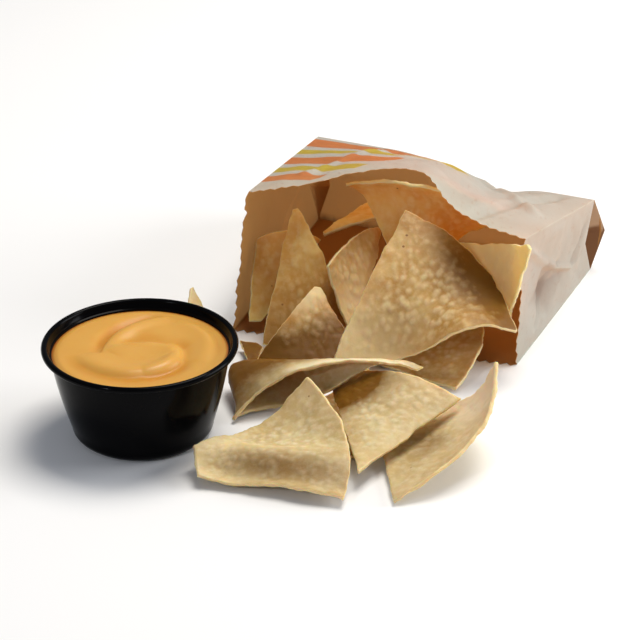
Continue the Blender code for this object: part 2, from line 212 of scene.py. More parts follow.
@dataclass(frozen=True)
class ChipFinish:
    """Fried corn tortilla: ground corn pressed thin and fried crisp.

    Frying lifts pale dry blisters off a darker, oilier base, and leaves a few toasted specks
    of corn skin. The sheet is thin enough for light to glow through it.
    """

    base: str
    field: str
    blister: str
    speck: str = "#8A5A28"
    edge: str = "#E0CA96"
    # dark brown for toasted spots and for painted shade
    toast_and_shade: str = "#7C5212"
    patch_mm: float = 17.0
    mottle_mm: float = 2.6
    speck_mm: float = 11.0
    grain_mm: float = 0.7
    blistering: float = 0.7
    glow: float = 0.75
    glow_radius: tuple[float, float, float] = (1.0, 0.5, 0.2)
    glow_mm: float = 2.2

    def build(self, name: str) -> bpy.types.Material:
        """Make the material and return it."""
        made, tree = new_material(name)
        place = add_node(tree, "ShaderNodeTexCoord", {}).outputs["Object"]
        raised = add_node(tree, "ShaderNodeAttribute", {}, attribute_name="blister").outputs["Fac"]
        rim = add_node(tree, "ShaderNodeAttribute", {}, attribute_name="rim").outputs["Fac"]

        def cloud(size_mm: float, detail: float) -> bpy.types.NodeSocket:
            """Noise of a real size, in the piece's own coordinates."""
            links = {"Vector": place, "Scale": 1 / (size_mm * MM), "Detail": detail, "Roughness": 0.6}
            return add_node(tree, "ShaderNodeTexNoise", links).outputs[0]

        patch = ramp(tree, cloud(self.patch_mm, 2.0), 0.38, 0.62)
        mottle = ramp(tree, cloud(self.mottle_mm, 3.0), 0.40, 0.68)
        colour = mix_colour(tree, patch, linear(self.base), linear(self.field))
        # The stored toast darkens the colour towards this brown, as toasting and painted shade, and below zero paints
        # it paler towards the blister colour, as painted light.
        toast_and_shade = add_node(tree, "ShaderNodeAttribute", {}, attribute_name="toast_and_shade").outputs["Fac"]
        painted_light = maths(tree, "MULTIPLY", toast_and_shade, -1.0)
        colour = mix_colour(tree, painted_light, colour, linear(self.blister))
        paler = maths(tree, "MULTIPLY_ADD", mottle, 0.3, maths(tree, "MULTIPLY", raised, self.blistering))
        colour = mix_colour(tree, paler, colour, linear(self.blister))
        toast_and_shade_share = maths(tree, "MULTIPLY", maths(tree, "MULTIPLY_ADD", paler, -0.3, 1.0), toast_and_shade)
        colour = mix_colour(tree, toast_and_shade_share, colour, linear(self.toast_and_shade))
        cells = add_node(
            tree, "ShaderNodeTexVoronoi", {"Vector": place, "Scale": 1 / (self.speck_mm * MM)}
        ).outputs["Distance"]
        colour = mix_colour(tree, ramp(tree, cells, 0.065, 0.03), colour, linear(self.speck))
        colour = mix_colour(tree, ramp(tree, rim, 0.6, 1.0), colour, linear(self.edge))
        bump = add_node(
            tree, "ShaderNodeBump", {"Strength": 0.3, "Distance": 0.15 * MM, "Height": cloud(self.grain_mm, 2.0)}
        )
        shader = add_node(
            tree,
            "ShaderNodeBsdfPrincipled",
            {
                "Base Color": colour,
                "Roughness": add_node(tree, "ShaderNodeMapRange", {0: raised, 3: 0.46, 4: 0.6}).outputs[0],
                "Normal": bump.outputs[0],
                "IOR": 1.45,
                "Specular IOR Level": 0.25,
                "Subsurface Weight": self.glow,
                "Subsurface Radius": self.glow_radius,
                "Subsurface Scale": self.glow_mm * MM,
            },
        )
        show_surface(tree, shader.outputs[0])
        return made


# The golden and amber finishes are deeper and warmer than the pale one partly as painted shade and warm light from the
# paper bag, on top of a deeper fry.
CHIP_FINISHES = {
    FryAndBagLight.PALE: ChipFinish(base="#C8AC74", field="#D6BE88", blister="#E8DAB2", blistering=0.38),
    FryAndBagLight.GOLDEN: ChipFinish(base="#BE8E48", field="#D0A864", blister="#E4CA96", blistering=0.75),
    FryAndBagLight.AMBER: ChipFinish(
        base="#E0AA56", field="#ECC070", blister="#F2D494", blistering=0.5, glow_radius=(1.0, 0.7, 0.35), glow_mm=4.0
    ),
}


@dataclass(frozen=True)
class Frying:
    """How the oil works on a chip: blisters, a slow warp of the sheet and a wandering outline."""

    blister_mm: float = 3.5
    blister_height_mm: float = 0.3
    warp_mm: float = 22.0
    warp_height_mm: float = 1.6
    wander_mm: float = 9.0
    wander_height_mm: float = 2.4
    chipped_mm: float = 2.2
    chipped_height_mm: float = 0.7

    def tree(self) -> bpy.types.NodeTree:
        """Build the Geometry Nodes tree that fries a chip, and return it."""
        made = bpy.data.node_groups.new("fry a chip", "GeometryNodeTree")
        made.interface.new_socket("Geometry", in_out="INPUT", socket_type="NodeSocketGeometry")
        defaults = {
            "Blister Size": self.blister_mm,
            "Blister Height": self.blister_height_mm,
            "Warp Size": self.warp_mm,
            "Warp Height": self.warp_height_mm,
            "Wander Size": self.wander_mm,
            "Wander Height": self.wander_height_mm,
            "Chipped Size": self.chipped_mm,
            "Chipped Height": self.chipped_height_mm,
        }
        for name, value in defaults.items():
            socket = made.interface.new_socket(name, in_out="INPUT", socket_type="NodeSocketFloat")
            socket.default_value = value * MM
        made.interface.new_socket("Seed", in_out="INPUT", socket_type="NodeSocketInt")
        made.interface.new_socket("Finish", in_out="INPUT", socket_type="NodeSocketMaterial")
        made.interface.new_socket("Geometry", in_out="OUTPUT", socket_type="NodeSocketGeometry")
        given = made.nodes.new("NodeGroupInput").outputs

        def maths(operation: str, *values: Any) -> bpy.types.NodeSocket:
            """One sum, as a socket."""
            return add_node(made, "ShaderNodeMath", dict(enumerate(values)), operation=operation).outputs[0]

        def vectors(operation: str, first: Any, second: Any) -> bpy.types.NodeSocket:
            """One vector sum, as a socket."""
            keys = (0, "Scale") if operation == "SCALE" else (0, 1)
            links = dict(zip(keys, (first, second)))
            return add_node(made, "ShaderNodeVectorMath", links, operation=operation).outputs[0]

        def named(name: str) -> bpy.types.NodeSocket:
            """A number stored on the points."""
            links = {"Name": name}
            node = add_node(made, "GeometryNodeInputNamedAttribute", links, data_type="FLOAT")
            return node.outputs["Attribute"]

        def sway(size: Any, height: Any, detail: float) -> bpy.types.NodeSocket:
            """A noise of a given size and height as a vector round zero."""
            links = {"Vector": place, "Scale": maths("DIVIDE", 1.0, size), "Detail": detail}
            colour = add_node(made, "ShaderNodeTexNoise", links).outputs[1]
            return vectors("SCALE", vectors("SUBTRACT", colour, (0.5, 0.5, 0.5)), height)

        place = add_node(made, "GeometryNodeInputPosition", {}).outputs[0]
        shift = add_node(made, "ShaderNodeCombineXYZ", {0: given["Seed"], 1: maths("MULTIPLY", given["Seed"], 0.37)})
        place = vectors("ADD", place, shift.outputs[0])
        rim, edge = named("rim"), named("edge")

        bent = sway(given["Warp Size"], given["Warp Height"], 1.0)
        wander = maths("MULTIPLY", given["Wander Height"], edge)
        bent = vectors("ADD", bent, sway(given["Wander Size"], wander, 2.0))
        chipped = maths("MULTIPLY", given["Chipped Height"], rim)
        bent = vectors("ADD", bent, sway(given["Chipped Size"], chipped, 1.0))

        long = vectors("MULTIPLY", place, (1.25, 1.25, 0.75))
        jittered = vectors("ADD", long, sway(given["Blister Size"], maths("MULTIPLY", given["Blister Size"], 0.5), 1.0))
        cells = add_node(
            made,
            "ShaderNodeTexVoronoi",
            {"Vector": jittered, "Scale": maths("DIVIDE", 1.0, given["Blister Size"]), "Smoothness": 0.3},
            feature="SMOOTH_F1",
        ).outputs["Distance"]
        dome = ramp(made, cells, 0.66, 0.22)
        links = {"Vector": place, "Scale": maths("DIVIDE", 0.3, given["Blister Size"]), "Detail": 1.0}
        crowd = ramp(made, add_node(made, "ShaderNodeTexNoise", links).outputs[0], 0.24, 0.44)
        flat = maths("SUBTRACT", 1.0, maths("MULTIPLY", edge, 0.8))
        blister = maths("MULTIPLY", maths("MULTIPLY", dome, crowd), flat)

        normal = add_node(made, "GeometryNodeInputNormal", {}).outputs[0]
        swell = vectors("SCALE", normal, maths("MULTIPLY", blister, given["Blister Height"]))
        links = {"Geometry": given["Geometry"], "Offset": vectors("ADD", bent, swell)}
        moved = add_node(made, "GeometryNodeSetPosition", links).outputs[0]
        links = {"Geometry": moved, "Name": "blister", "Value": blister}
        kept = add_node(
            made, "GeometryNodeStoreNamedAttribute", links, data_type="FLOAT", domain="POINT"
        ).outputs[0]
        smooth = add_node(made, "GeometryNodeSetShadeSmooth", {0: kept}).outputs[0]
        real = add_node(made, "GeometryNodeRealizeInstances", {0: smooth}).outputs[0]
        links = {"Geometry": real, "Material": given["Finish"]}
        dressed = add_node(made, "GeometryNodeSetMaterial", links).outputs[0]
        add_node(made, "NodeGroupOutput", {0: dressed})
        return made


def apply_tree(piece: bpy.types.Object, tree: bpy.types.NodeTree, values: dict[str, Any]) -> None:
    """Run a Geometry Nodes tree on a piece and keep its result as plain mesh.

    Args:
        piece: The object whose mesh goes in and is replaced.
        tree: The tree to run.
        values: The tree's named inputs that differ from their defaults.
    """
    modifier = piece.modifiers.new("tree", "NODES")
    modifier.node_group = tree
    for name, value in values.items():
        modifier[tree.interface.items_tree[name].identifier] = value
    graph = bpy.context.evaluated_depsgraph_get()
    made = bpy.data.meshes.new_from_object(piece.evaluated_get(graph), depsgraph=graph)
    piece.modifiers.remove(modifier)
    piece.data = made
    made.name = piece.name


@dataclass(frozen=True)
class Curl:
    """A fold along one side: how far in from it, how wide, how high, and the share it covers.

    A toast over zero darkens the colour near the fold, partly as a darker fry and mostly as painted shade; below zero
    it paints the colour paler, as painted light.
    """

    side: Side
    inset: float
    width: float
    lift: float
    middle: float = 0.5
    spread: float = 2.0
    toast_and_shade: float = 0.0


@dataclass(frozen=True)
class Chip:
    """One chip, a sixth of a round tortilla, as a curved triangle.

    Attributes:
        node: The solid that it stands for.
        tone: Its colour, partly its fry and partly painted shade and warm light for where it lies.
        point: The 60 degree corner.
        left: The left end of the round side.
        right: The right end of the round side.
        lift_left: How far the left side stands off at its thirds, along the corners' normal.
        lift_round: The same of the round side.
        lift_right: The same of the right side, from the round side to the point.
        lift_middle: The same of the middle.
        worn: The share of the length that is worn off the point.
        belly: How far a scooped chip's middle is pushed out near its round side.
        curls: Finer folds near its sides, with the toasting, painted shade and painted light that they carry.
        toast_and_shade_upper: The share of its toasting, painted shade and painted light that its upper face has.
        step: How far apart its mesh lines are.
        thickness: The sheet's thickness.
    """

    node: str
    tone: FryAndBagLight
    point: tuple[float, float, float]
    left: tuple[float, float, float]
    right: tuple[float, float, float]
    lift_left: tuple[float, float] = (0.0, 0.0)
    lift_round: tuple[float, float] = (0.0, 0.0)
    lift_right: tuple[float, float] = (0.0, 0.0)
    lift_middle: float = 0.0
    worn: float = 0.05
    belly: tuple[float, float, float] = (0.0, 0.0, 0.0)
    curls: tuple[Curl, ...] = ()
    toast_and_shade_upper: float = 1.0
    step: float = 0.75
    thickness: float = 1.25
    round_side: float = 0.1786
    belly_reach: float = 4.5
    edge_width: float = 5.0

    def handles(self) -> dict[str, np.ndarray]:
        """The ten handles of the curved triangle, keyed by their share of each corner."""
        point, left, right = (np.array(corner) for corner in (self.point, self.left, self.right))
        normal = np.cross(left - point, right - point)
        normal /= np.linalg.norm(normal)
        side = right - left
        length = np.linalg.norm(side)
        outward = (left + right) / 2 - point
        outward -= side * (outward @ side) / length**2
        arc = outward / np.linalg.norm(outward) * self.round_side * length
        made = {
            "ppl": point + (left - point) / 3 + normal * self.lift_left[0],
            "pll": point + (left - point) * 2 / 3 + normal * self.lift_left[1],
            "llr": left + side / 3 + normal * self.lift_round[0] + arc,
            "lrr": left + side * 2 / 3 + normal * self.lift_round[1] + arc,
            "prr": right + (point - right) / 3 + normal * self.lift_right[0],
            "ppr": right + (point - right) * 2 / 3 + normal * self.lift_right[1],
        }
        sides = sum(made.values()) / 6
        made["plr"] = sides + (sides - (point + left + right) / 3) / 2 + normal * self.lift_middle
        return made | {"ppp": point, "lll": left, "rrr": right}

    def sheet(self, reach: np.ndarray, across: np.ndarray) -> np.ndarray:
        """Places on the curved triangle, reach along it from its point and across it."""
        shares = {"p": 1 - reach, "l": reach * (1 - across), "r": reach * across}
        place = np.zeros((*reach.shape, 3))
        for key, handle in self.handles().items():
            weight = np.full(reach.shape, 6.0)
            for corner, share in shares.items():
                power = key.count(corner)
                weight = weight / math.factorial(power) * share**power
            place += weight[..., None] * handle
        scoop = np.sin(np.pi * across) * np.sin(np.pi * reach**self.belly_reach)
        return place + scoop[..., None] * np.array(self.belly)

    def grid(self) -> tuple[np.ndarray, np.ndarray, np.ndarray, np.ndarray]:
        """The middle of the sheet, its normals, how far in each place is, and its toasting with painted shade and
        light.
        """
        span = np.linalg.norm(np.array(self.left) - np.array(self.right))
        length = np.linalg.norm((np.array(self.left) + np.array(self.right)) / 2 - np.array(self.point))
        rows, columns = int(length / self.step) + 1, int(span * 1.05 / self.step) + 1
        reach, across = np.meshgrid(
            np.linspace(self.worn, 1, rows + 1), np.linspace(0, 1, columns + 1), indexing="ij"
        )
        place = self.sheet(reach, across)
        small = 0.01
        along = self.sheet(reach + small, across) - self.sheet(reach - small, across)
        aside = self.sheet(reach, across + small) - self.sheet(reach, across - small)
        normal = np.cross(along, aside)
        normal /= np.linalg.norm(normal, axis=-1, keepdims=True)
        slant = 0.9
        inset = np.stack([across * reach * span * slant, (1 - reach) * length, (1 - across) * reach * span * slant])
        share = {Side.LEFT: reach, Side.ROUND: across, Side.RIGHT: reach}
        toast_and_shade = np.zeros(reach.shape)
        for curl in self.curls:
            away = inset[list(Side).index(curl.side)]
            reached = bell((share[curl.side] - curl.middle) / curl.spread) * bell((away - curl.inset) / curl.width)
            place = place + normal * (curl.lift * reached)[..., None]
            toast_and_shade = toast_and_shade + curl.toast_and_shade * reached
        return place, normal, inset.min(axis=0), toast_and_shade

    def build(self) -> bpy.types.Object:
        """Make the chip's sheet, with its outline marked, and return it unfried."""
        place, normal, inset, toast_and_shade = self.grid()
        low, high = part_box("cup")
        origin = np.array([(low[0] + high[0]) / 2, (low[1] + high[1]) / 2, low[2]]) / MM
        rows, columns = inset.shape
        points = np.concatenate(
            [(place + normal * face * self.thickness / 2 + origin).reshape(-1, 3) for face in (1, -1)]
        )
        number = np.arange(rows * columns).reshape(rows, columns)
        faces: list[tuple[int, ...]] = []
        corners = [number[:-1, :-1], number[1:, :-1], number[1:, 1:], number[:-1, 1:]]
        upper = np.stack([corner.ravel() for corner in corners], axis=1)
        faces += [tuple(face) for face in upper.tolist()]
        faces += [tuple(face) for face in (upper[:, ::-1] + rows * columns).tolist()]
        loop = [*number[:, 0], *number[-1, 1:-1], *number[::-1, -1], *number[0, 1:-1][::-1]]
        below = rows * columns
        for here, after in zip(loop, loop[1:] + loop[:1]):
            faces.append((int(after), int(here), int(here) + below, int(after) + below))
        made = mesh_object(self.node + "_fried", points * MM, faces, 180.0)
        rim = np.zeros(2 * below, np.float32)
        rim[loop] = rim[np.array(loop) + below] = 1.0
        point_attribute(made.data, "rim", rim)
        point_attribute(made.data, "edge", np.tile(bell(inset.ravel() / self.edge_width), 2))
        point_attribute(made.data, "toast_and_shade", np.outer((self.toast_and_shade_upper, 1.0), toast_and_shade).ravel())
        return made


@dataclass
class ChipPile:
    """Every tortilla chip that shows, in the bag and in front of it."""

    chips: tuple[Chip, ...]

    def build(self) -> list[bpy.types.Object]:
        """Make and fry every chip and return them."""
        tree = Frying().tree()
        finishes = {tone: CHIP_FINISHES[tone].build(f"fried_corn_tortilla_{tone.value}") for tone in FryAndBagLight}
        made = []
        for seed, chip in enumerate(self.chips, start=1):
            piece = chip.build()
            apply_tree(piece, tree, {"Seed": seed, "Finish": finishes[chip.tone]})
            settle(piece, "fried_tortilla", chip.node)
            made.append(piece)
        return made


# ---------------------------------------------------------------- paper bag


@dataclass(frozen=True)
class Stripe:
    """One printed band: its place and width along the bag, how far right it runs, and its colour."""

    start: float
    width: float
    right_end: float
    colour: str


@dataclass(frozen=True)
class KraftFinish:
    """Uncoated kraft paper, printed with a pale ground outside and left bare inside.

    Long wood fibres give faint streaks and specks, painted shade with some staining darkens the tucked pocket, the dent
    and the inner walls, and light comes through the single sheet warm and soft.
    """

    outside: str = "#CCD4C8"
    inside: str = "#B67E46"
    fibre: str = "#9C7A55"
    # dark brown for painted shade in the pocket, the dent and the inner walls, with some staining
    stain_and_shade: str = "#6E4A2C"
    outer_light: str = "#FFF6E6"
    inner_light: str = "#FFD08C"
    fibre_mm: float = 1.6
    blotch_mm: float = 14.0
    glow: float = 0.46
    inner_glow: float = 0.95
    soft_edge_mm: float = 0.35
    slant: float = 0.35
    stripes: tuple[Stripe, ...] = (
        Stripe(5.0, 15.0, 6.0, "#D98550"),
        Stripe(27.0, 9.0, 18.0, "#C8BC48"),
        Stripe(43.0, 13.0, -6.0, "#D98550"),
        Stripe(63.0, 9.0, -14.0, "#C8BC48"),
        Stripe(79.0, 10.0, -26.0, "#D98550"),
    )

    def printed(self, tree: bpy.types.NodeTree, ground: bpy.types.NodeSocket) -> bpy.types.NodeSocket:
        """Lay the stripes over the ground colour and return the result."""
        sheet = add_node(tree, "ShaderNodeAttribute", {}, attribute_name="sheet").outputs["Vector"]
        across, along, side = add_node(tree, "ShaderNodeSeparateXYZ", {0: sheet}).outputs
        colour = ground
        soft = self.soft_edge_mm * MM
        for stripe in self.stripes:
            near = ramp(tree, along, stripe.start * MM - soft, stripe.start * MM + soft)
            finish = (stripe.start + stripe.width) * MM
            far = ramp(tree, along, finish + soft, finish - soft)
            cut = add_node(
                tree, "ShaderNodeMath", {0: along, 1: self.slant, 2: across}, operation="MULTIPLY_ADD"
            ).outputs[0]
            end = (stripe.right_end + self.slant * stripe.start) * MM
            reach = ramp(tree, cut, end + soft, end - soft)
            share = add_node(tree, "ShaderNodeMath", {0: near, 1: far}, operation="MULTIPLY").outputs[0]
            share = add_node(tree, "ShaderNodeMath", {0: share, 1: reach}, operation="MULTIPLY").outputs[0]
            share = add_node(tree, "ShaderNodeMath", {0: share, 1: side}, operation="MULTIPLY").outputs[0]
            colour = mix_colour(tree, share, colour, linear(stripe.colour))
        return colour

    def build(self) -> bpy.types.Material:
        """Make the material and return it."""
        made, tree = new_material("kraft_paper")
        place = add_node(tree, "ShaderNodeTexCoord", {}).outputs["Object"]
        inner = add_node(tree, "ShaderNodeAttribute", {}, attribute_name="inside").outputs["Fac"]
        blotch = add_node(
            tree, "ShaderNodeTexNoise", {"Vector": place, "Scale": 1 / (self.blotch_mm * MM), "Detail": 3.0}
        ).outputs[0]
        stretched = add_node(tree, "ShaderNodeMapping", {"Vector": place, "Scale": (1.0, 0.25, 1.0)})
        fibre = add_node(
            tree,
            "ShaderNodeTexNoise",
            {"Vector": stretched.outputs[0], "Scale": 1 / (self.fibre_mm * MM), "Detail": 4.0},
        ).outputs[0]
        outer = self.printed(tree, linear_socket(tree, self.outside))
        colour = mix_colour(tree, inner, outer, linear(self.inside))
        specks = ramp(tree, fibre, 0.56, 0.78)
        faint = add_node(tree, "ShaderNodeMath", {0: specks, 1: 0.35}, operation="MULTIPLY").outputs[0]
        colour = mix_colour(tree, faint, colour, linear(self.fibre))
        # Painted shade, with some staining, from the stored amounts.
        stain_and_shade = add_node(tree, "ShaderNodeAttribute", {}, attribute_name="stain_and_shade").outputs["Fac"]
        colour = mix_colour(tree, stain_and_shade, colour, linear(self.stain_and_shade))
        shade = add_node(tree, "ShaderNodeMapRange", {0: blotch, 1: 0.3, 2: 0.7, 3: 0.0, 4: 0.16}).outputs[0]
        colour = mix_colour(tree, shade, colour, linear(self.fibre))
        bump = add_node(tree, "ShaderNodeBump", {"Strength": 0.2, "Distance": 0.1 * MM, "Height": fibre})
        paper = add_node(
            tree,
            "ShaderNodeBsdfPrincipled",
            {"Base Color": colour, "Roughness": 0.8, "Normal": bump.outputs[0], "Specular IOR Level": 0.25},
        )
        passed = mix_colour(tree, inner, linear(self.outer_light), linear(self.inner_light))
        light = add_node(tree, "ShaderNodeBsdfTranslucent", {"Color": passed})
        backed = add_node(tree, "ShaderNodeAttribute", {}, attribute_name="backed").outputs["Fac"]
        share = add_node(tree, "ShaderNodeMapRange", {0: inner, 3: self.glow, 4: self.inner_glow}).outputs[0]
        share = maths(tree, "MULTIPLY", share, maths(tree, "SUBTRACT", 1.0, backed))
        both = add_node(tree, "ShaderNodeMixShader", {0: share, 1: paper.outputs[0], 2: light.outputs[0]})
        show_surface(tree, both.outputs[0])
        return made


def linear_socket(tree: bpy.types.NodeTree, hex_colour: str) -> bpy.types.NodeSocket:
    """Return a socket that holds an sRGB hex colour, to be painted over."""
    node = tree.nodes.new("ShaderNodeRGB")
    node.outputs[0].default_value = linear(hex_colour)
    return node.outputs[0]


@dataclass(frozen=True)
class Crease:
    """One sharp fold on a panel (0 left, 1 top, 2 right), as a line of (across, from mouth) places.

    A height over zero stands out of the panel.
    """

    panel: int
    start: tuple[float, float]
    finish: tuple[float, float]
    height: float
    width: float


@dataclass
class PaperBag:
    """A flat kraft bag on its side: pinked open mouth in front, folded bottom behind.

    Its places are (along, aside, height) from the middle of the folded bottom, as in the solid.
    """

    end: tuple[float, float] = (126.7, 165.9)
    turn_degrees: float = 24.0
    half_width: float = 65.5
    end_left_height: float = 41.0
    end_right_height: float = 33.5
    dip: float = 3.5
    dip_aside: float = 24.0
    dip_width: float = 11.0
    step_width: float = 60.0
    mouth_left_set: float = 117.0
    mouth_right_set: float = 98.0
    mouth_left_width: float = 52.5
    mouth_left_height: float = 60.0
    mouth_right_height: float = 55.0
    mouth_hump: float = 7.0
    mouth_recess: float = 34.0
    recess_place: float = 0.49
    recess_shares: tuple[float, float] = (0.28, 0.19)
    notch_depth: float = 3.0
    notch_place: float = 0.84
    notch_width: float = 0.04
    top_lean: float = 8.0
    top_inset: float = 3.5
    panel_bulge: float = 3.0
    gusset_dent: float = 2.0
    pocket_depth: float = 10.0
    pocket_dent: float = 8.0
    end_bulge: float = 7.0
    tuck_cover: float = 0.75
    table_cover: float = 0.9
    # The inner covers cut the inner skin's glow and the inner shades darken its colour, as painted shade, except the
    # bottom's cover, which is the table.
    inner_cover: tuple[float, ...] = (0.4, 0.0, 0.1, 0.9)
    inner_shade: tuple[float, ...] = (0.15, 0.0, 0.1, 0.4)
    end_cover: float = 0.7
    end_shade: float = 0.0
    dent_place: tuple[float, float] = (0.62, 0.42)
    dent_depth: float = 3.8
    # How much darker the dent is painted, as painted shade in its hollow with some staining.
    dent_stain_and_shade: float = 0.5
    paper: float = 0.3
    tooth_pitch: float = 5.0
    tooth_depth: float = 1.9
    tooth_steps: int = 4
    row_step: float = 1.3
    creases: tuple["Crease", ...] = (
        Crease(1, (104.0, 8.0), (118.0, 96.0), -2.2, 5.0),
        Crease(1, (122.0, 40.0), (78.0, 96.0), 1.8, 4.0),
        Crease(1, (60.0, 60.0), (104.0, 88.0), -1.6, 4.0),
        Crease(1, (18.0, 20.0), (40.0, 80.0), 1.4, 4.0),
        Crease(2, (18.0, 10.0), (88.0, 78.0), 2.0, 5.0),
        Crease(2, (88.0, 78.0), (30.0, 96.0), -2.2, 5.0),
        Crease(2, (112.0, 24.0), (62.0, 58.0), -2.2, 5.0),
        Crease(0, (20.0, 20.0), (90.0, 80.0), 0.9, 5.0),
    )
    crumple_mm: tuple[float, ...] = (34.0, 13.0, 5.0)
    crumple_height_mm: tuple[float, ...] = (1.1, 0.5, 0.12)

    def columns(self) -> tuple[np.ndarray, np.ndarray]:
        """Return each column's panel (0 left, 1 top, 2 right, 3 bottom) and share along it."""
        lengths = (self.mouth_left_height, 2 * self.half_width + 8, self.mouth_right_height, 2 * self.half_width)
        teeth = [2 * round(length / self.tooth_pitch / 2) for length in lengths]
        teeth[2], teeth[3] = teeth[0], teeth[1]
        panels, shares = [], []
        for panel, count in enumerate(teeth):
            steps = count * self.tooth_steps
            panels += [panel] * steps
            shares += [step / steps for step in range(steps)]
        return np.array(panels), np.array(shares)

    def end_height(self, aside: np.ndarray) -> np.ndarray:
        """The folded end's height at a place across it."""
        step = ease(0.5 + aside / self.step_width)
        high = self.end_left_height + (self.end_right_height - self.end_left_height) * step
        return high - self.dip * bell((aside - self.dip_aside) / self.dip_width)

    def mouth(self, panel: np.ndarray, share: np.ndarray) -> np.ndarray:
        """(along, aside, height) of the mouth's edge for each column."""
        left_foot = (-self.mouth_left_set, -self.mouth_left_width, 0.0)
        left_top = (
            -self.mouth_left_set + self.top_lean,
            -self.mouth_left_width + self.top_inset,
            self.mouth_left_height,
        )
        right_top = (-self.mouth_right_set + self.top_lean / 2, self.half_width, self.mouth_right_height)
        right_foot = (-self.mouth_right_set, self.half_width, 0.0)
        corners = np.array([left_foot, left_top, right_top, right_foot, left_foot])
        place = corners[panel] + (corners[panel + 1] - corners[panel]) * share[:, None]
        top = panel == 1
        offset = share - self.recess_place
        spread = np.where(offset > 0, self.recess_shares[1], self.recess_shares[0])
        place[:, 0] += np.where(top, self.mouth_recess * bell(offset / spread), 0.0)
        place[:, 2] += np.where(top, self.mouth_hump * np.sin(np.pi * share), 0.0)
        torn = self.notch_depth * bell((share - self.notch_place) / self.notch_width)
        place[:, 0] += np.where(panel == 0, torn, 0.0)
        return place

    def far_end(self, panel: np.ndarray, share: np.ndarray) -> np.ndarray:
        """(along, aside, height) of the far end of the panels for each column."""
        half = self.half_width
        aside = np.select([panel == 0, panel == 1, panel == 2], [-half, half * (2 * share - 1), half], half * (1 - 2 * share))
        high = self.end_height(aside)
        height = np.select([panel == 0, panel == 1, panel == 2], [high * share, high, high * (1 - share)], 0.0)
        depth = np.where(panel % 2 == 0, 1 - np.abs(2 * share - 1), 0.0)
        return np.stack([-self.pocket_depth * depth, aside, height], axis=1)

    def fold(self, crease: "Crease", panel: np.ndarray, share: np.ndarray, reach: float) -> np.ndarray:
        """How far one sharp fold stands off each column of a ring."""
        spot = np.stack([share * 2 * self.half_width, np.full(len(share), reach * self.mouth_right_set)], axis=1)
        start, finish = np.array(crease.start), np.array(crease.finish)
        run = finish - start
        along = np.clip((spot - start) @ run / (run @ run), 0.0, 1.0)
        away = np.linalg.norm(spot - start - along[:, None] * run, axis=1)
        return np.where(panel == crease.panel, crease.height * np.clip(1 - away / crease.width, 0.0, 1.0), 0.0)

    def dent(self, panel: np.ndarray, share: np.ndarray, reach: Any) -> np.ndarray:
        """How deep in the right panel's kite-shaped dent each place is, from 0 to 1."""
        hollow = 1 - np.abs(share - self.dent_place[0]) / 0.3 - np.abs(reach - self.dent_place[1]) / 0.3
        return np.where(panel == 2, np.clip(hollow, 0.0, 1.0), 0.0)

    def relief(self, panel: np.ndarray, share: np.ndarray, reach: float, place: np.ndarray) -> np.ndarray:
        """How far the crumpled paper stands off its smooth panel, outwards positive."""
        stand = np.zeros(len(panel))
        for size, height in zip(self.crumple_mm, self.crumple_height_mm):
            folds = [abs(noise.noise(Vector(spot) / size)) for spot in place]
            stand += height * (np.array(folds) * 2 - 0.35)
        stand = stand * ease(np.minimum(share, 1 - share) / 0.12)
        stand = stand - self.dent_depth * self.dent(panel, share, reach)
        for crease in self.creases:
            stand += self.fold(crease, panel, share, reach)
        return np.where(panel == 3, 0.0, stand * ease((1 - reach) / 0.1))

    def row(self, panel: np.ndarray, share: np.ndarray, reach: np.ndarray, inset: float) -> np.ndarray:
        """One ring of the bag's skin, at a reach from the mouth (0) to the far end (1)."""
        mouth, far = self.mouth(panel, share), self.far_end(panel, share)
        place = mouth + (far - mouth) * reach[:, None]
        swell = np.sin(np.pi * reach) * np.sin(np.pi * share)
        smooth = place.copy()
        stand = self.relief(panel, share, float(np.median(reach)), smooth) - inset
        place[:, 2] += np.where(panel == 1, self.panel_bulge * swell + stand, 0.0)
        place[:, 1] += np.where(panel == 0, self.gusset_dent * swell - stand, 0.0)
        place[:, 1] -= np.where(panel == 2, self.gusset_dent * swell - stand, 0.0)
        place[:, 2] += np.where(panel == 3, inset, 0.0)
        return place

    def gusset(self, panel: np.ndarray, share: np.ndarray, inward: float, outward: float, inset: float) -> np.ndarray:
        """One ring of the folded end, its gussets pushed inward and drawn outward along the bag."""
        place = self.far_end(panel, share)
        depth = np.where(panel % 2 == 0, 1 - np.abs(2 * share - 1), 0.0)
        towards = np.where(panel == 0, 1.0, -1.0)
        place[:, 1] += np.where(panel % 2 == 0, towards * (inward * depth + inset), 0.0)
        place[:, 2] += np.select([panel == 1, panel == 3], [-inset, inset], 0.0)
        place[:, 0] += outward * depth - inset
        return place

    def crease(self, ring: np.ndarray, panel: np.ndarray) -> np.ndarray:
        """Draw a ring together into the crease across the folded end."""
        side = int((panel == 0).sum())
        count = len(ring)
        half = side // 2
        size = count // 2
        upper = (np.arange(size + 1) + half) % count
        lower = (half - np.arange(size + 1)) % count
        middle = (ring[upper] + ring[lower]) / 2
        steps = np.arange(size + 1)
        spread = np.minimum(1.0, np.minimum(steps, size - steps) / half)
        middle[:, 0] += self.end_bulge * spread**2
        made = ring.copy()
        made[upper] = middle
        made[lower] = middle
        return made

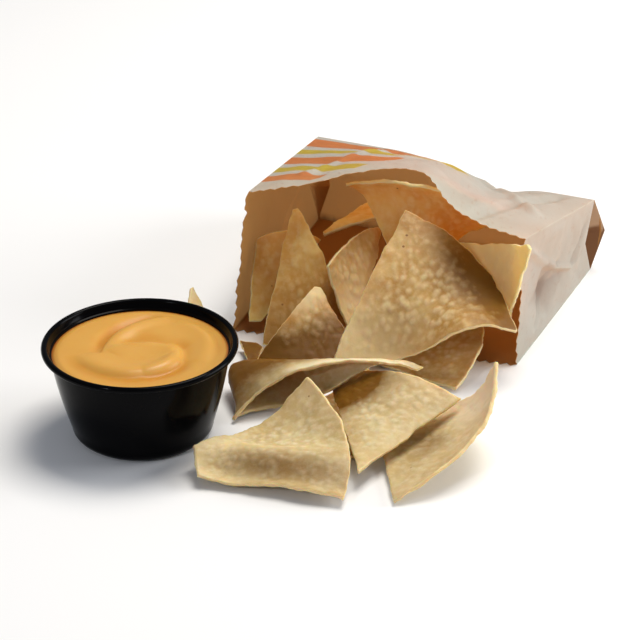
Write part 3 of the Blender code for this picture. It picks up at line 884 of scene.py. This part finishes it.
    def skin(self, inset: float) -> tuple[np.ndarray, np.ndarray, np.ndarray, np.ndarray]:
        """Build one skin of the bag as rings of points.

        Args:
            inset: How far inside the outer skin it lies.

        Returns:
            The points as (ring, column, axis), their (across, along, on top) sheet places, and
            the share of the light from behind that is kept off, by the table and a second sheet and on
            the inner walls as painted shade, and how much painted shade, with some staining, darkens the paper.
        """
        panel, share = self.columns()
        count = len(panel)
        tooth = np.abs(np.arange(count) % self.tooth_steps - self.tooth_steps / 2) / (self.tooth_steps / 2)
        cut = self.tooth_depth * tooth / self.mouth_right_set
        reaches = [cut]
        rows = int(self.mouth_right_set / self.row_step)
        start = (self.tooth_depth + 0.4) / self.mouth_right_set
        reaches += [np.full(count, start + (1 - start) * step / rows) for step in range(rows + 1)]
        rings = [self.row(panel, share, reach, inset) for reach in reaches]
        folds = 6
        for step in range(1, folds + 1):
            turn = step / folds
            rings.append(self.gusset(panel, share, self.pocket_dent * turn, self.pocket_depth / 2 * turn, inset))
        for step in range(1, folds + 1):
            turn = step / folds
            inward = self.pocket_dent + (-self.end_bulge / 2 - self.pocket_dent) * turn
            outward = self.pocket_depth / 2 + (self.pocket_depth / 2 + self.end_bulge) * turn
            rings.append(self.gusset(panel, share, inward, outward, inset))
        last = self.crease(rings[-1], panel)
        rings += [rings[-1] + (last - rings[-1]) * step / folds for step in range(1, folds + 1)]
        places = np.array(rings)
        sheet = np.zeros_like(places)
        sheet[..., 0] = places[..., 1] * MM
        sheet[..., 1] = -places[..., 0] * MM
        sheet[..., 2] = (panel == 1)[None, :]
        past = np.arange(len(places))[:, None] - len(reaches)
        before = 1 - np.clip(past / folds, 0.0, 1.0)
        if inset:
            # The inner skin's covers and shades are painted shade on its walls.
            covers, shades = np.array(self.inner_cover)[panel], np.array(self.inner_shade)[panel]
            backed = self.end_cover + before * (covers - self.end_cover)
            stain_and_shade = self.end_shade + before * (shades - self.end_shade)
            return places, sheet, backed, stain_and_shade
        tucked = (past > 0) & (panel % 2 == 0)[None, :]
        backed = self.table_cover * before * (panel == 3)[None, :] + self.tuck_cover * tucked
        upper = np.where(panel == 2, 1 - share, share)[None, :]
        # Painted shade on the lower face of the tucked pocket, where light can't get in.
        stain_and_shade = np.where(tucked, ease((0.62 - upper) / 0.06), 0.0)
        # The dent is painted darker, as painted shade in its hollow with some staining.
        stain_and_shade = stain_and_shade + self.dent_stain_and_shade * self.dent(panel, share, 1 + past / len(reaches))
        return places, sheet, backed, stain_and_shade

    def to_frame(self, places: np.ndarray) -> np.ndarray:
        """Turn (along, aside, height) into metres in the frame."""
        low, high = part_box("cup")
        turn = math.radians(self.turn_degrees)
        along, aside, height = places[:, 0], places[:, 1], places[:, 2]
        x = self.end[0] + along * math.sin(turn) + aside * math.cos(turn)
        y = self.end[1] + along * math.cos(turn) - aside * math.sin(turn)
        return np.stack(
            [x * MM + (low[0] + high[0]) / 2, y * MM + (low[1] + high[1]) / 2, height * MM + low[2]], axis=1
        )

    def build(self) -> bpy.types.Object:
        """Make the bag's two skins, join them round the mouth and return the piece."""
        skins = [self.skin(0.0), self.skin(self.paper)]
        rows, count, _ = skins[0][0].shape
        points = np.concatenate([self.to_frame(skin[0].reshape(-1, 3)) for skin in skins])
        sheet = np.concatenate([skin[1].reshape(-1, 3) for skin in skins])
        backed, stain_and_shade = (np.concatenate([skin[part].ravel() for skin in skins]) for part in (2, 3))
        inside = np.repeat([0.0, 1.0], rows * count)
        inside = np.maximum(inside, np.where(backed == self.tuck_cover, self.tuck_cover, 0.0))
        faces: list[tuple[int, ...]] = []
        for skin in (0, 1):
            first = skin * rows * count
            for row in range(rows - 1):
                for column in range(count):
                    after = (column + 1) % count
                    near, far = first + row * count, first + (row + 1) * count
                    corners = (near + column, far + column, far + after, near + after)
                    faces.append(corners if skin else corners[::-1])
        for column in range(count):
            after = (column + 1) % count
            inner = rows * count
            faces.append((column, after, inner + after, inner + column)[::-1])
        bag = mesh_object("paper_bag", points, faces, 50.0)
        point_attribute(bag.data, "sheet", sheet)
        point_attribute(bag.data, "inside", inside)
        point_attribute(bag.data, "backed", backed)
        point_attribute(bag.data, "stain_and_shade", stain_and_shade)
        build = bmesh.new()
        build.from_mesh(bag.data)
        bmesh.ops.remove_doubles(build, verts=build.verts, dist=0.002 * MM)
        build.to_mesh(bag.data)
        build.free()
        bag.data.materials.append(KraftFinish().build())
        settle(bag, "kraft_paper", "bag")
        return bag


# ---------------------------------------------------------------- cup and dip


@dataclass(frozen=True)
class CupFinish:
    """Black polypropylene, thermoformed on a polished mould: deep black with soft wide gloss."""

    colour: str = "#050506"
    haze_mm: float = 6.0

    def build(self) -> bpy.types.Material:
        """Make the material and return it."""
        made, tree = new_material("black_polypropylene")
        place = add_node(tree, "ShaderNodeTexCoord", {}).outputs["Object"]
        haze = add_node(
            tree, "ShaderNodeTexNoise", {"Vector": place, "Scale": 1 / (self.haze_mm * MM), "Detail": 2.0}
        ).outputs[0]
        rough = add_node(tree, "ShaderNodeMapRange", {0: haze, 3: 0.10, 4: 0.18}).outputs[0]
        bump = add_node(tree, "ShaderNodeBump", {"Strength": 0.1, "Distance": 0.2 * MM, "Height": haze})
        shader = add_node(
            tree,
            "ShaderNodeBsdfPrincipled",
            {
                "Base Color": linear(self.colour),
                "Roughness": rough,
                "IOR": 1.49,
                "Specular IOR Level": 0.045,
                "Normal": bump.outputs[0],
            },
        )
        show_surface(tree, shader.outputs[0])
        return made


@dataclass
class PortionCup:
    """A thin tapered cup with a rounded foot, a stacking ledge and a rolled rim."""

    foot_radius: float = 26.2
    mouth_radius: float = 35.0
    foot_round: float = 4.5
    wall: float = 0.7
    bow: float = 0.9
    rim_tube: float = 1.25
    ledge_drop: float = 3.4
    ledge_width: float = 0.5
    steps: int = 144
    arc_steps: int = 8
    wall_steps: int = 12

    def wall_radius(self, share: float) -> float:
        """The outside radius of the wall at a share of the cup's height."""
        return self.foot_radius + (self.mouth_radius - self.foot_radius) * share + self.bow * math.sin(math.pi * share)

    def section(self, height: float) -> list[tuple[float, float]]:
        """(radius, height) round the wall, from the middle of the base to the middle of the floor."""
        outside = [(0.0, 0.8), (self.foot_radius * 0.6, 0.8), (self.foot_radius - self.foot_round - 1.4, 0.7)]
        outside.append((self.foot_radius - self.foot_round - 0.6, 0.0))
        centre = self.wall_radius(self.foot_round / height) - self.foot_round
        for step in range(self.arc_steps + 1):
            angle = -math.pi / 2 + math.pi / 2 * step / self.arc_steps
            outside.append(
                (centre + self.foot_round * math.cos(angle), self.foot_round * (1 + math.sin(angle)))
            )
        ledge = height - self.ledge_drop
        shoulder = height - 2 * self.rim_tube
        for step in range(1, self.wall_steps + 1):
            level = self.foot_round + (ledge - self.foot_round) * step / self.wall_steps
            outside.append((self.wall_radius(level / height), level))
        outside.append((self.wall_radius(ledge / height) + self.ledge_width, ledge + 0.3))
        outside.append((self.wall_radius(shoulder / height) + self.ledge_width, shoulder))
        middle = outside[-1][0] + self.rim_tube
        rim = []
        for step in range(3 * self.arc_steps):
            angle = math.radians(-70) + math.radians(250) * step / (3 * self.arc_steps - 1)
            rim.append(
                (
                    middle + self.rim_tube * math.cos(angle),
                    height - self.rim_tube + self.rim_tube * math.sin(angle),
                )
            )
        inside = [(max(0.0, radius - self.wall), level + (0.0 if level > 6 else self.wall * (1 - level / 6)))
                  for radius, level in outside[4:][::-1]]
        inside += [(self.foot_radius * 0.5, 0.8 + self.wall), (0.0, 0.8 + self.wall)]
        return outside + rim + inside

    def build(self) -> bpy.types.Object:
        """Spin the section and return the cup."""
        low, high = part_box("cup")
        section = self.section((high[2] - low[2]) / MM)
        widest = max(radius for radius, _ in section)
        fit = (high[0] - low[0]) / 2 / MM / widest
        middle = Vector(((low[0] + high[0]) / 2, (low[1] + high[1]) / 2, low[2]))
        cup = spun("portion_cup", [(radius * fit, level) for radius, level in section], self.steps, middle)
        cup.data.materials.append(CupFinish().build())
        settle(cup, "black_plastic", "cup")
        return cup


def spun(name: str, section: list[tuple[float, float]], steps: int, middle: Vector) -> bpy.types.Object:
    """Turn a section round an upright axis into a closed shell.

    Args:
        name: The piece's name.
        section: (radius, height) in millimetres, starting and ending on the axis.
        steps: Steps round the axis.
        middle: The foot of the axis in metres.

    Returns:
        The new object.
    """
    points, faces = [], []
    for step in range(steps):
        angle = 2 * math.pi * step / steps
        for radius, level in section:
            points.append((radius * math.cos(angle), radius * math.sin(angle), level))
    size = len(section)
    for step in range(steps):
        here, after = step * size, (step + 1) % steps * size
        for index in range(size - 1):
            faces.append((here + index, after + index, after + index + 1, here + index + 1))
    made = mesh_object(name, np.array(points) * MM + np.array(middle), faces, 40.0)
    build = bmesh.new()
    build.from_mesh(made.data)
    bmesh.ops.remove_doubles(build, verts=build.verts, dist=0.001 * MM)
    bmesh.ops.dissolve_degenerate(build, edges=build.edges, dist=0.001 * MM)
    bmesh.ops.recalc_face_normals(build, faces=build.faces)
    build.to_mesh(made.data)
    build.free()
    made.data.shade_smooth()
    made.data.set_sharp_from_angle(angle=math.radians(40.0))
    return made


@dataclass(frozen=True)
class DipFinish:
    """Warm processed cheese sauce: smooth, thick and wet, glowing a little under its skin."""

    body: str = "#D6A04A"
    # Painted shade in the folds' troughs, mixed with random clouds of tone.
    trough_shade: str = "#C78528"
    # A darker brown over the last few millimetres towards the cup wall.
    skin: str = "#A65C1A"
    cloud_mm: float = 16.0

    def build(self) -> bpy.types.Material:
        """Make the material and return it."""
        made, tree = new_material("cheese_sauce")
        place = add_node(tree, "ShaderNodeTexCoord", {}).outputs["Object"]
        fold = add_node(tree, "ShaderNodeAttribute", {}, attribute_name="fold").outputs["Fac"]
        shore = add_node(tree, "ShaderNodeAttribute", {}, attribute_name="shore").outputs["Fac"]
        cloud = add_node(
            tree, "ShaderNodeTexNoise", {"Vector": place, "Scale": 1 / (self.cloud_mm * MM), "Detail": 2.0}
        ).outputs[0]
        mixed = add_node(tree, "ShaderNodeMath", {0: cloud, 1: 0.5, 2: fold}, operation="MULTIPLY_ADD").outputs[0]
        # Painted shade: deeper orange-brown low in the folds and in random clouds.
        colour = mix_colour(tree, ramp(tree, mixed, 0.15, 0.85), linear(self.trough_shade), linear(self.body))
        # Darker brown towards the cup wall.
        colour = mix_colour(tree, ramp(tree, shore, 0.5, 1.0), colour, linear(self.skin))
        shader = add_node(
            tree,
            "ShaderNodeBsdfPrincipled",
            {
                "Base Color": colour,
                "Roughness": 0.34,
                "IOR": 1.4,
                "Specular IOR Level": 0.4,
                "Subsurface Weight": 0.4,
                "Subsurface Radius": (1.0, 0.45, 0.12),
                "Subsurface Scale": 2.5 * MM,
            },
        )
        show_surface(tree, shader.outputs[0])
        return made


@dataclass(frozen=True)
class Pour:
    """One fold that the poured dip left: an arc that winds outwards, with a crisp inner lip.

    Attributes:
        middle: The arc's middle, from the cup's axis.
        radius: Its radius where it starts.
        start: The angle where it starts, in degrees.
        sweep: How far round it goes.
        unwind: How much its radius grows over that.
        depth: How deep the crease is, as a share of the swirl's height.
        soft: How wide its outer flank is.
        crisp: How wide its inner lip is.
    """

    middle: tuple[float, float]
    radius: float
    start: float
    sweep: float
    unwind: float
    depth: float
    soft: float = 3.6
    crisp: float = 1.1


@dataclass
class CheeseDip:
    """The dip: a closed body with a poured surface of spiral folds and a low shore at the wall."""

    pours: tuple[Pour, ...] = (
        Pour((18.0, 2.0), 28.4, 110.0, 78.0, 5.0, 0.75, 3.2, 0.8),
        Pour((-2.0, 2.0), 24.0, 195.0, 140.0, -2.0, 0.5, 4.5, 2.2),
        Pour((1.0, -12.0), 20.0, 40.0, 100.0, 0.0, 0.4, 4.5, 2.6),
        Pour((0.0, -4.0), 17.0, 280.0, 125.0, 0.0, 0.4, 3.6, 1.4),
        Pour((3.0, 2.0), 27.0, 330.0, 95.0, 0.0, 0.3, 4.0, 2.4),
    )
    swirl_height: float = 1.5
    rings: int = 90
    steps: int = 180
    depth: float = 8.0
    shore_width: float = 3.0
    shore_drop: float = 0.5
    overlap: float = 0.35

    def surface(self, x: np.ndarray, y: np.ndarray, radius: float) -> tuple[np.ndarray, np.ndarray, np.ndarray]:
        """Shape the dip's surface.

        Args:
            x: Places across, from the cup's axis.
            y: Places back, from the cup's axis.
            radius: The dip's radius.

        Returns:
            The height over the level, how far up a fold each place is, and how near the wall.
        """
        fold = np.full(x.shape, 0.5)
        for pour in self.pours:
            off_x, off_y = x - pour.middle[0], y - pour.middle[1]
            away, turn = np.hypot(off_x, off_y), np.degrees(np.arctan2(off_y, off_x))
            along = (turn - pour.start) % 360 / pour.sweep
            line = away - pour.radius - pour.unwind * along
            ends = np.where(along < 1, np.sin(np.pi * np.clip(along, 0, 1)) ** 0.6, 0.0)
            crease = np.where(line > 0, bell(line / pour.soft), bell(line / pour.crisp))
            ridge = bell((line + pour.soft * 1.1) / pour.soft)
            fold = fold + ends * (0.45 * ridge - pour.depth * crease)
        shore = ease(1 - (radius - np.hypot(x, y)) / self.shore_width)
        calm = ease((radius - np.hypot(x, y)) / 6.0)
        fold = 0.5 + (fold - 0.5) * calm
        height = self.swirl_height * (fold - 0.5) * 1.6 - self.shore_drop * shore
        return height, fold, shore

    def build(self) -> bpy.types.Object:
        """Make the dip and return it."""
        low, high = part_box("cheese")
        radius = (high[0] - low[0]) / 2 / MM + self.overlap
        level = (high[2] - low[2]) / MM + 0.3
        points, folds, shores, faces = [], [], [], []
        shares = np.linspace(0, 1, self.rings + 1)[1:] ** 0.8
        angles = np.arange(self.steps) * 2 * math.pi / self.steps
        for share in shares:
            x, y = radius * share * np.cos(angles), radius * share * np.sin(angles)
            height, fold, shore = self.surface(x, y, radius)
            points.append(np.stack([x, y, level + height], axis=1))
            folds.append(fold)
            shores.append(shore)
        foot = points[-1].copy()
        foot[:, :2] *= 0.9
        foot[:, 2] = level - self.depth
        points.append(foot)
        folds.append(folds[-1])
        shores.append(shores[-1])
        rows = len(points)
        height, fold, shore = self.surface(np.zeros(1), np.zeros(1), radius)
        centre = np.array([[0.0, 0.0, level + height[0]], [0.0, 0.0, level - self.depth]])
        for row in range(rows - 1):
            for column in range(self.steps):
                after = (column + 1) % self.steps
                near, far = row * self.steps, (row + 1) * self.steps
                faces.append((near + column, far + column, far + after, near + after))
        top, bottom = rows * self.steps, rows * self.steps + 1
        for column in range(self.steps):
            after = (column + 1) % self.steps
            faces.append((top, column, after))
            last = (rows - 1) * self.steps
            faces.append((bottom, last + after, last + column))
        places = np.concatenate([*points, centre]) * MM
        places += np.array([(low[0] + high[0]) / 2, (low[1] + high[1]) / 2, low[2]])
        dip = mesh_object("cheese_dip", places, faces, 60.0)
        point_attribute(dip.data, "fold", np.concatenate([*folds, fold, fold]))
        point_attribute(dip.data, "shore", np.concatenate([*shores, shore, shore]))
        dip.data.materials.append(DipFinish().build())
        settle(dip, "cheese_dip", "cheese")
        return dip


# ---------------------------------------------------------------- studio


@dataclass
class Studio:
    """The pale floor, the soft lights and the camera."""

    eye: tuple[float, float, float] = (67.7, -730.9, 424.1)
    tilt_degrees: float = 27.3
    lens: float = 123.75
    sensor: float = 36.0
    floor_half: float = 3.0
    floor_colour: str = "#F4F3F0"
    sky: float = 0.28
    sky_colour: str = "#E9F0FF"

    def build(self) -> None:
        """Make the floor, lights, world and camera."""
        low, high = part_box("cup")
        base = Vector(((low[0] + high[0]) / 2, (low[1] + high[1]) / 2, low[2]))
        self.floor()
        self.lamp("key", (0.3, 0.32, 1.3), (0.02, 0.0, 0.02), 0.7, 16.0, "#FFFAF3")
        self.lamp("side", (1.1, 0.1, 0.4), (0.02, 0.0, 0.02), 0.7, 10.5, "#F8FAFF")
        self.lamp("fill", (-0.7, -0.9, 0.7), (0.0, 0.0, 0.02), 0.08, 2.0, "#F2F6FF")
        self.world()
        camera = bpy.data.cameras.new("camera")
        camera.lens, camera.sensor_width = self.lens, self.sensor
        camera.clip_start, camera.clip_end = 0.05, 10.0
        seat = bpy.data.objects.new("camera", camera)
        seat.location = base + Vector(self.eye) * MM
        seat.rotation_euler = (math.radians(90 - self.tilt_degrees), 0.0, 0.0)
        bpy.context.scene.collection.objects.link(seat)
        bpy.context.scene.camera = seat
        bpy.context.scene.view_settings.view_transform = "Standard"

    def floor(self) -> None:
        """A plain pale floor under everything."""
        half = self.floor_half
        points = np.array([(-half, -half, 0.0), (half, -half, 0.0), (half, half, 0.0), (-half, half, 0.0)])
        floor = mesh_object("floor", points, [(0, 1, 2, 3)], 30.0)
        made, tree = new_material("pale_board")
        place = add_node(tree, "ShaderNodeTexCoord", {}).outputs["Object"]
        cloud = add_node(tree, "ShaderNodeTexNoise", {"Vector": place, "Scale": 30.0, "Detail": 2.0}).outputs[0]
        rough = add_node(tree, "ShaderNodeMapRange", {0: cloud, 3: 0.75, 4: 0.85}).outputs[0]
        shader = add_node(
            tree, "ShaderNodeBsdfPrincipled", {"Base Color": linear(self.floor_colour), "Roughness": rough}
        )
        show_surface(tree, shader.outputs[0])
        floor.data.materials.append(made)

    def lamp(
        self,
        name: str,
        place: tuple[float, float, float],
        target: tuple[float, float, float],
        size: float,
        power: float,
        colour: str,
    ) -> None:
        """A soft square lamp that faces a point."""
        light = bpy.data.lights.new(name, "AREA")
        light.size, light.energy = size, power
        light.color = linear(colour)[:3]
        made = bpy.data.objects.new(name, light)
        made.location = place
        made.rotation_euler = (Vector(target) - Vector(place)).to_track_quat("-Z", "Y").to_euler()
        bpy.context.scene.collection.objects.link(made)

    def world(self) -> None:
        """An even pale surround."""
        made = bpy.data.worlds.new("surround")
        made.use_nodes = True
        shade = made.node_tree.nodes["Background"]
        shade.inputs["Color"].default_value = linear(self.sky_colour)
        shade.inputs["Strength"].default_value = self.sky
        bpy.context.scene.world = made


# The curls' toasts paint shade and light on the chips: darker where a fold, a neighbour or the bag shades them, paler
# where they are lit.
CHIPS = (
    Chip(
        "chip_front",
        FryAndBagLight.PALE,
        point=(9.5, -40.0, 10.5),
        left=(62.5, 5.0, 19.0),
        right=(75.5, -56.0, 2.0),
        lift_left=(0.0, 26.0),
        lift_round=(-0.5, -1.5),
        lift_right=(-3.5, 16.0),
        worn=0.20,
        curls=(
            Curl(Side.RIGHT, 15.0, 8.0, -4.5, 0.6, 0.45),
            # painted shade in the steep band, with a darker fry there, and painted light near the point
            Curl(Side.RIGHT, 9.0, 6.5, 0.0, 0.6, 0.55, toast_and_shade=0.8),
            Curl(Side.LEFT, 0.0, 30.0, 0.0, 0.2, 0.2, toast_and_shade=-0.5),
            Curl(Side.RIGHT, 0.0, 3.0, -1.8),
        ),
    ),
    Chip(
        "chip_on_table",
        FryAndBagLight.GOLDEN,
        point=(76.0, 27.5, 1.2),
        left=(38.5, -7.0, 1.2),
        right=(87.5, -23.5, 1.2),
        lift_left=(0.0, 0.5),
    ),
    Chip(
        "chip_arch",
        FryAndBagLight.PALE,
        point=(114.0, 10.0, 17.0),
        left=(34.0, 4.0, 2.0),
        right=(61.0, 11.5, 3.6),
        lift_left=(-15.5, -20.5),
        lift_round=(-2.5, -2.5),
        lift_right=(-4.0, -19.0),
        worn=0.10,
        belly=(-20.0, 19.0, 1.5),
        toast_and_shade_upper=0.35,
        curls=(
            # painted shade over the arch's lobes and inside, and a painted highlight along its rim
            Curl(Side.ROUND, 12.0, 20.0, 0.0, toast_and_shade=1.3),
            Curl(Side.LEFT, 0.0, 3.0, 0.0, 0.5, 0.35, toast_and_shade=-2.0),
        ),
    ),
    Chip(
        "chip_flat",
        FryAndBagLight.PALE,
        point=(71.0, 27.5, 7.5),
        left=(121.5, -3.0, 14.5),
        right=(81.5, -45.0, 7.5),
        lift_left=(-8.0, -11.0),
        lift_round=(1.5, 1.5),
        round_side=-0.05,
        # painted shadow of the arch on this chip
        curls=(Curl(Side.LEFT, 9.0, 10.0, 0.0, 0.27, 0.22, toast_and_shade=3.5),),
    ),
    Chip(
        "chip_spike",
        FryAndBagLight.PALE,
        point=(88.5, 11.0, 2.0),
        left=(134.0, -6.5, 32.0),
        right=(94.5, -56.0, 1.5),
        lift_left=(14.0, 16.0),
        lift_round=(11.0, 3.0),
        lift_right=(-1.0, -1.0),
        lift_middle=7.0,
        # painted shadow of the flat chip along the round side, and painted light near the tip
        curls=(Curl(Side.ROUND, 20.0, 8.0, 0.0, 0.55, 0.25, toast_and_shade=0.8), Curl(Side.LEFT, 0.0, 14.0, 0.0, 0.85, 0.35, toast_and_shade=-2.0)),
    ),
    Chip(
        "chip_slope",
        FryAndBagLight.GOLDEN,
        point=(66.5, 73.0, 25.5),
        left=(87.0, 41.5, 3.0),
        right=(42.0, 46.5, 3.5),
        lift_left=(1.0, 1.5),
        lift_round=(-3.5, -3.0),
        lift_right=(-2.5, -4.5),
        curls=(
            # painted shade low down, and painted light at the lit top
            Curl(Side.ROUND, 4.0, 22.0, 0.0, toast_and_shade=1.5),
            Curl(Side.RIGHT, 0.0, 9.0, 0.0, 0.2, 0.4, toast_and_shade=-1.4),
        ),
    ),
    Chip(
        "chip_centre",
        FryAndBagLight.GOLDEN,
        point=(71.5, 36.0, 6.5),
        left=(102.5, 87.5, 51.0),
        right=(144.5, 40.5, 19.5),
        lift_left=(-7.0, -7.0),
        lift_round=(-1.0, 3.5),
        lift_right=(-28.0, 17.0),
        curls=(
            # painted light on the lower left outside the bag's shadow, and painted shade near the round side inside it
            Curl(Side.LEFT, 0.0, 60.0, 0.0, 0.1, 0.3, toast_and_shade=-1.4),
            Curl(Side.RIGHT, 0.0, 12.0, 4.0, 0.4, 0.2),
            Curl(Side.RIGHT, 0.0, 12.0, -3.0, 0.8, 0.2),
            Curl(Side.ROUND, 2.0, 11.0, 0.0, 0.7, 0.5, toast_and_shade=1.5),
        ),
    ),
    Chip(
        "chip_under",
        FryAndBagLight.GOLDEN,
        point=(75.0, 59.0, 1.5),
        left=(131.0, 83.5, 12.5),
        right=(121.0, 28.0, 1.5),
        lift_round=(-0.5, -1.5),
        lift_right=(0.5, 0.0),
    ),
    Chip(
        "chip_stub",
        FryAndBagLight.GOLDEN,
        point=(41.0, 44.0, 2.0),
        left=(44.5, 58.5, 3.0),
        right=(35.0, 63.5, 4.0),
        # painted shade over the whole stub
        curls=(Curl(Side.ROUND, 0.0, 60.0, 0.0, toast_and_shade=1.2),),
    ),
    Chip(
        "chip_tall",
        FryAndBagLight.AMBER,
        point=(57.0, 101.0, 49.0),
        left=(79.5, 79.0, 4.5),
        right=(44.0, 63.0, 3.0),
        lift_left=(-9.0, -2.5),
        lift_round=(-4.5, -5.5),
        lift_right=(1.0, 1.0),
        curls=(Curl(Side.ROUND, 4.0, 24.0, 0.0, toast_and_shade=0.7),),
    ),
    Chip(
        "chip_wall",
        FryAndBagLight.AMBER,
        point=(38.5, 75.0, 0.5),
        left=(41.0, 98.0, 34.5),
        right=(68.0, 112.0, 27.0),
        lift_left=(2.5, 1.0),
        lift_right=(0.0, -1.0),
        worn=0.15,
    ),
    Chip(
        "chip_middle",
        FryAndBagLight.GOLDEN,
        point=(82.5, 63.0, 1.0),
        left=(70.5, 79.0, 30.5),
        right=(94.0, 115.5, 31.5),
        lift_left=(0.5, 0.5),
        lift_round=(-1.5, -2.0),
        round_side=0.12,
        # painted light, paler over most of the chip
        curls=(Curl(Side.LEFT, 0.0, 60.0, 0.0, 0.4, 0.4, toast_and_shade=-1.0),),
    ),
    Chip(
        "chip_rear",
        FryAndBagLight.AMBER,
        point=(67.5, 101.5, 34.0),
        left=(105.0, 151.5, 35.0),
        right=(122.0, 128.0, 38.0),
        lift_left=(-3.5, -1.0),
        lift_right=(-0.5, -2.0),
    ),
    Chip(
        "chip_lid",
        FryAndBagLight.AMBER,
        point=(108.5, 104.0, 16.0),
        left=(78.5, 109.5, 53.5),
        right=(147.0, 89.5, 45.0),
        lift_left=(-24.5, 21.0),
        lift_round=(-1.0, -6.5),
        lift_right=(13.5, 26.5),
    ),
    Chip(
        "chip_corner",
        FryAndBagLight.AMBER,
        point=(150.5, 45.5, 56.0),
        left=(117.5, 96.5, 33.5),
        right=(143.5, 54.0, 15.5),
        lift_left=(0.5, 0.5),
        lift_right=(0.0, 2.0),
        # painted light, paler all over
        curls=(Curl(Side.LEFT, 0.0, 60.0, 0.0, toast_and_shade=-0.9),),
    ),
    Chip(
        "chip_behind",
        FryAndBagLight.PALE,
        point=(14.0, 86.5, 18.5),
        left=(26.5, 70.5, 3.0),
        right=(12.0, 53.0, 3.5),
        lift_left=(1.0, -1.0),
        lift_right=(-1.5, -2.0),
    ),
)


def main() -> None:
    """Build every piece, then the studio."""
    logging.basicConfig(level=logging.INFO, format="%(name)s: %(message)s")
    makers: list[Callable[[], Any]] = [
        ChipPile(CHIPS).build,
        PaperBag().build,
        PortionCup().build,
        CheeseDip().build,
        Studio().build,
    ]
    for make in makers:
        make()


if __name__ == "__main__":
    main()
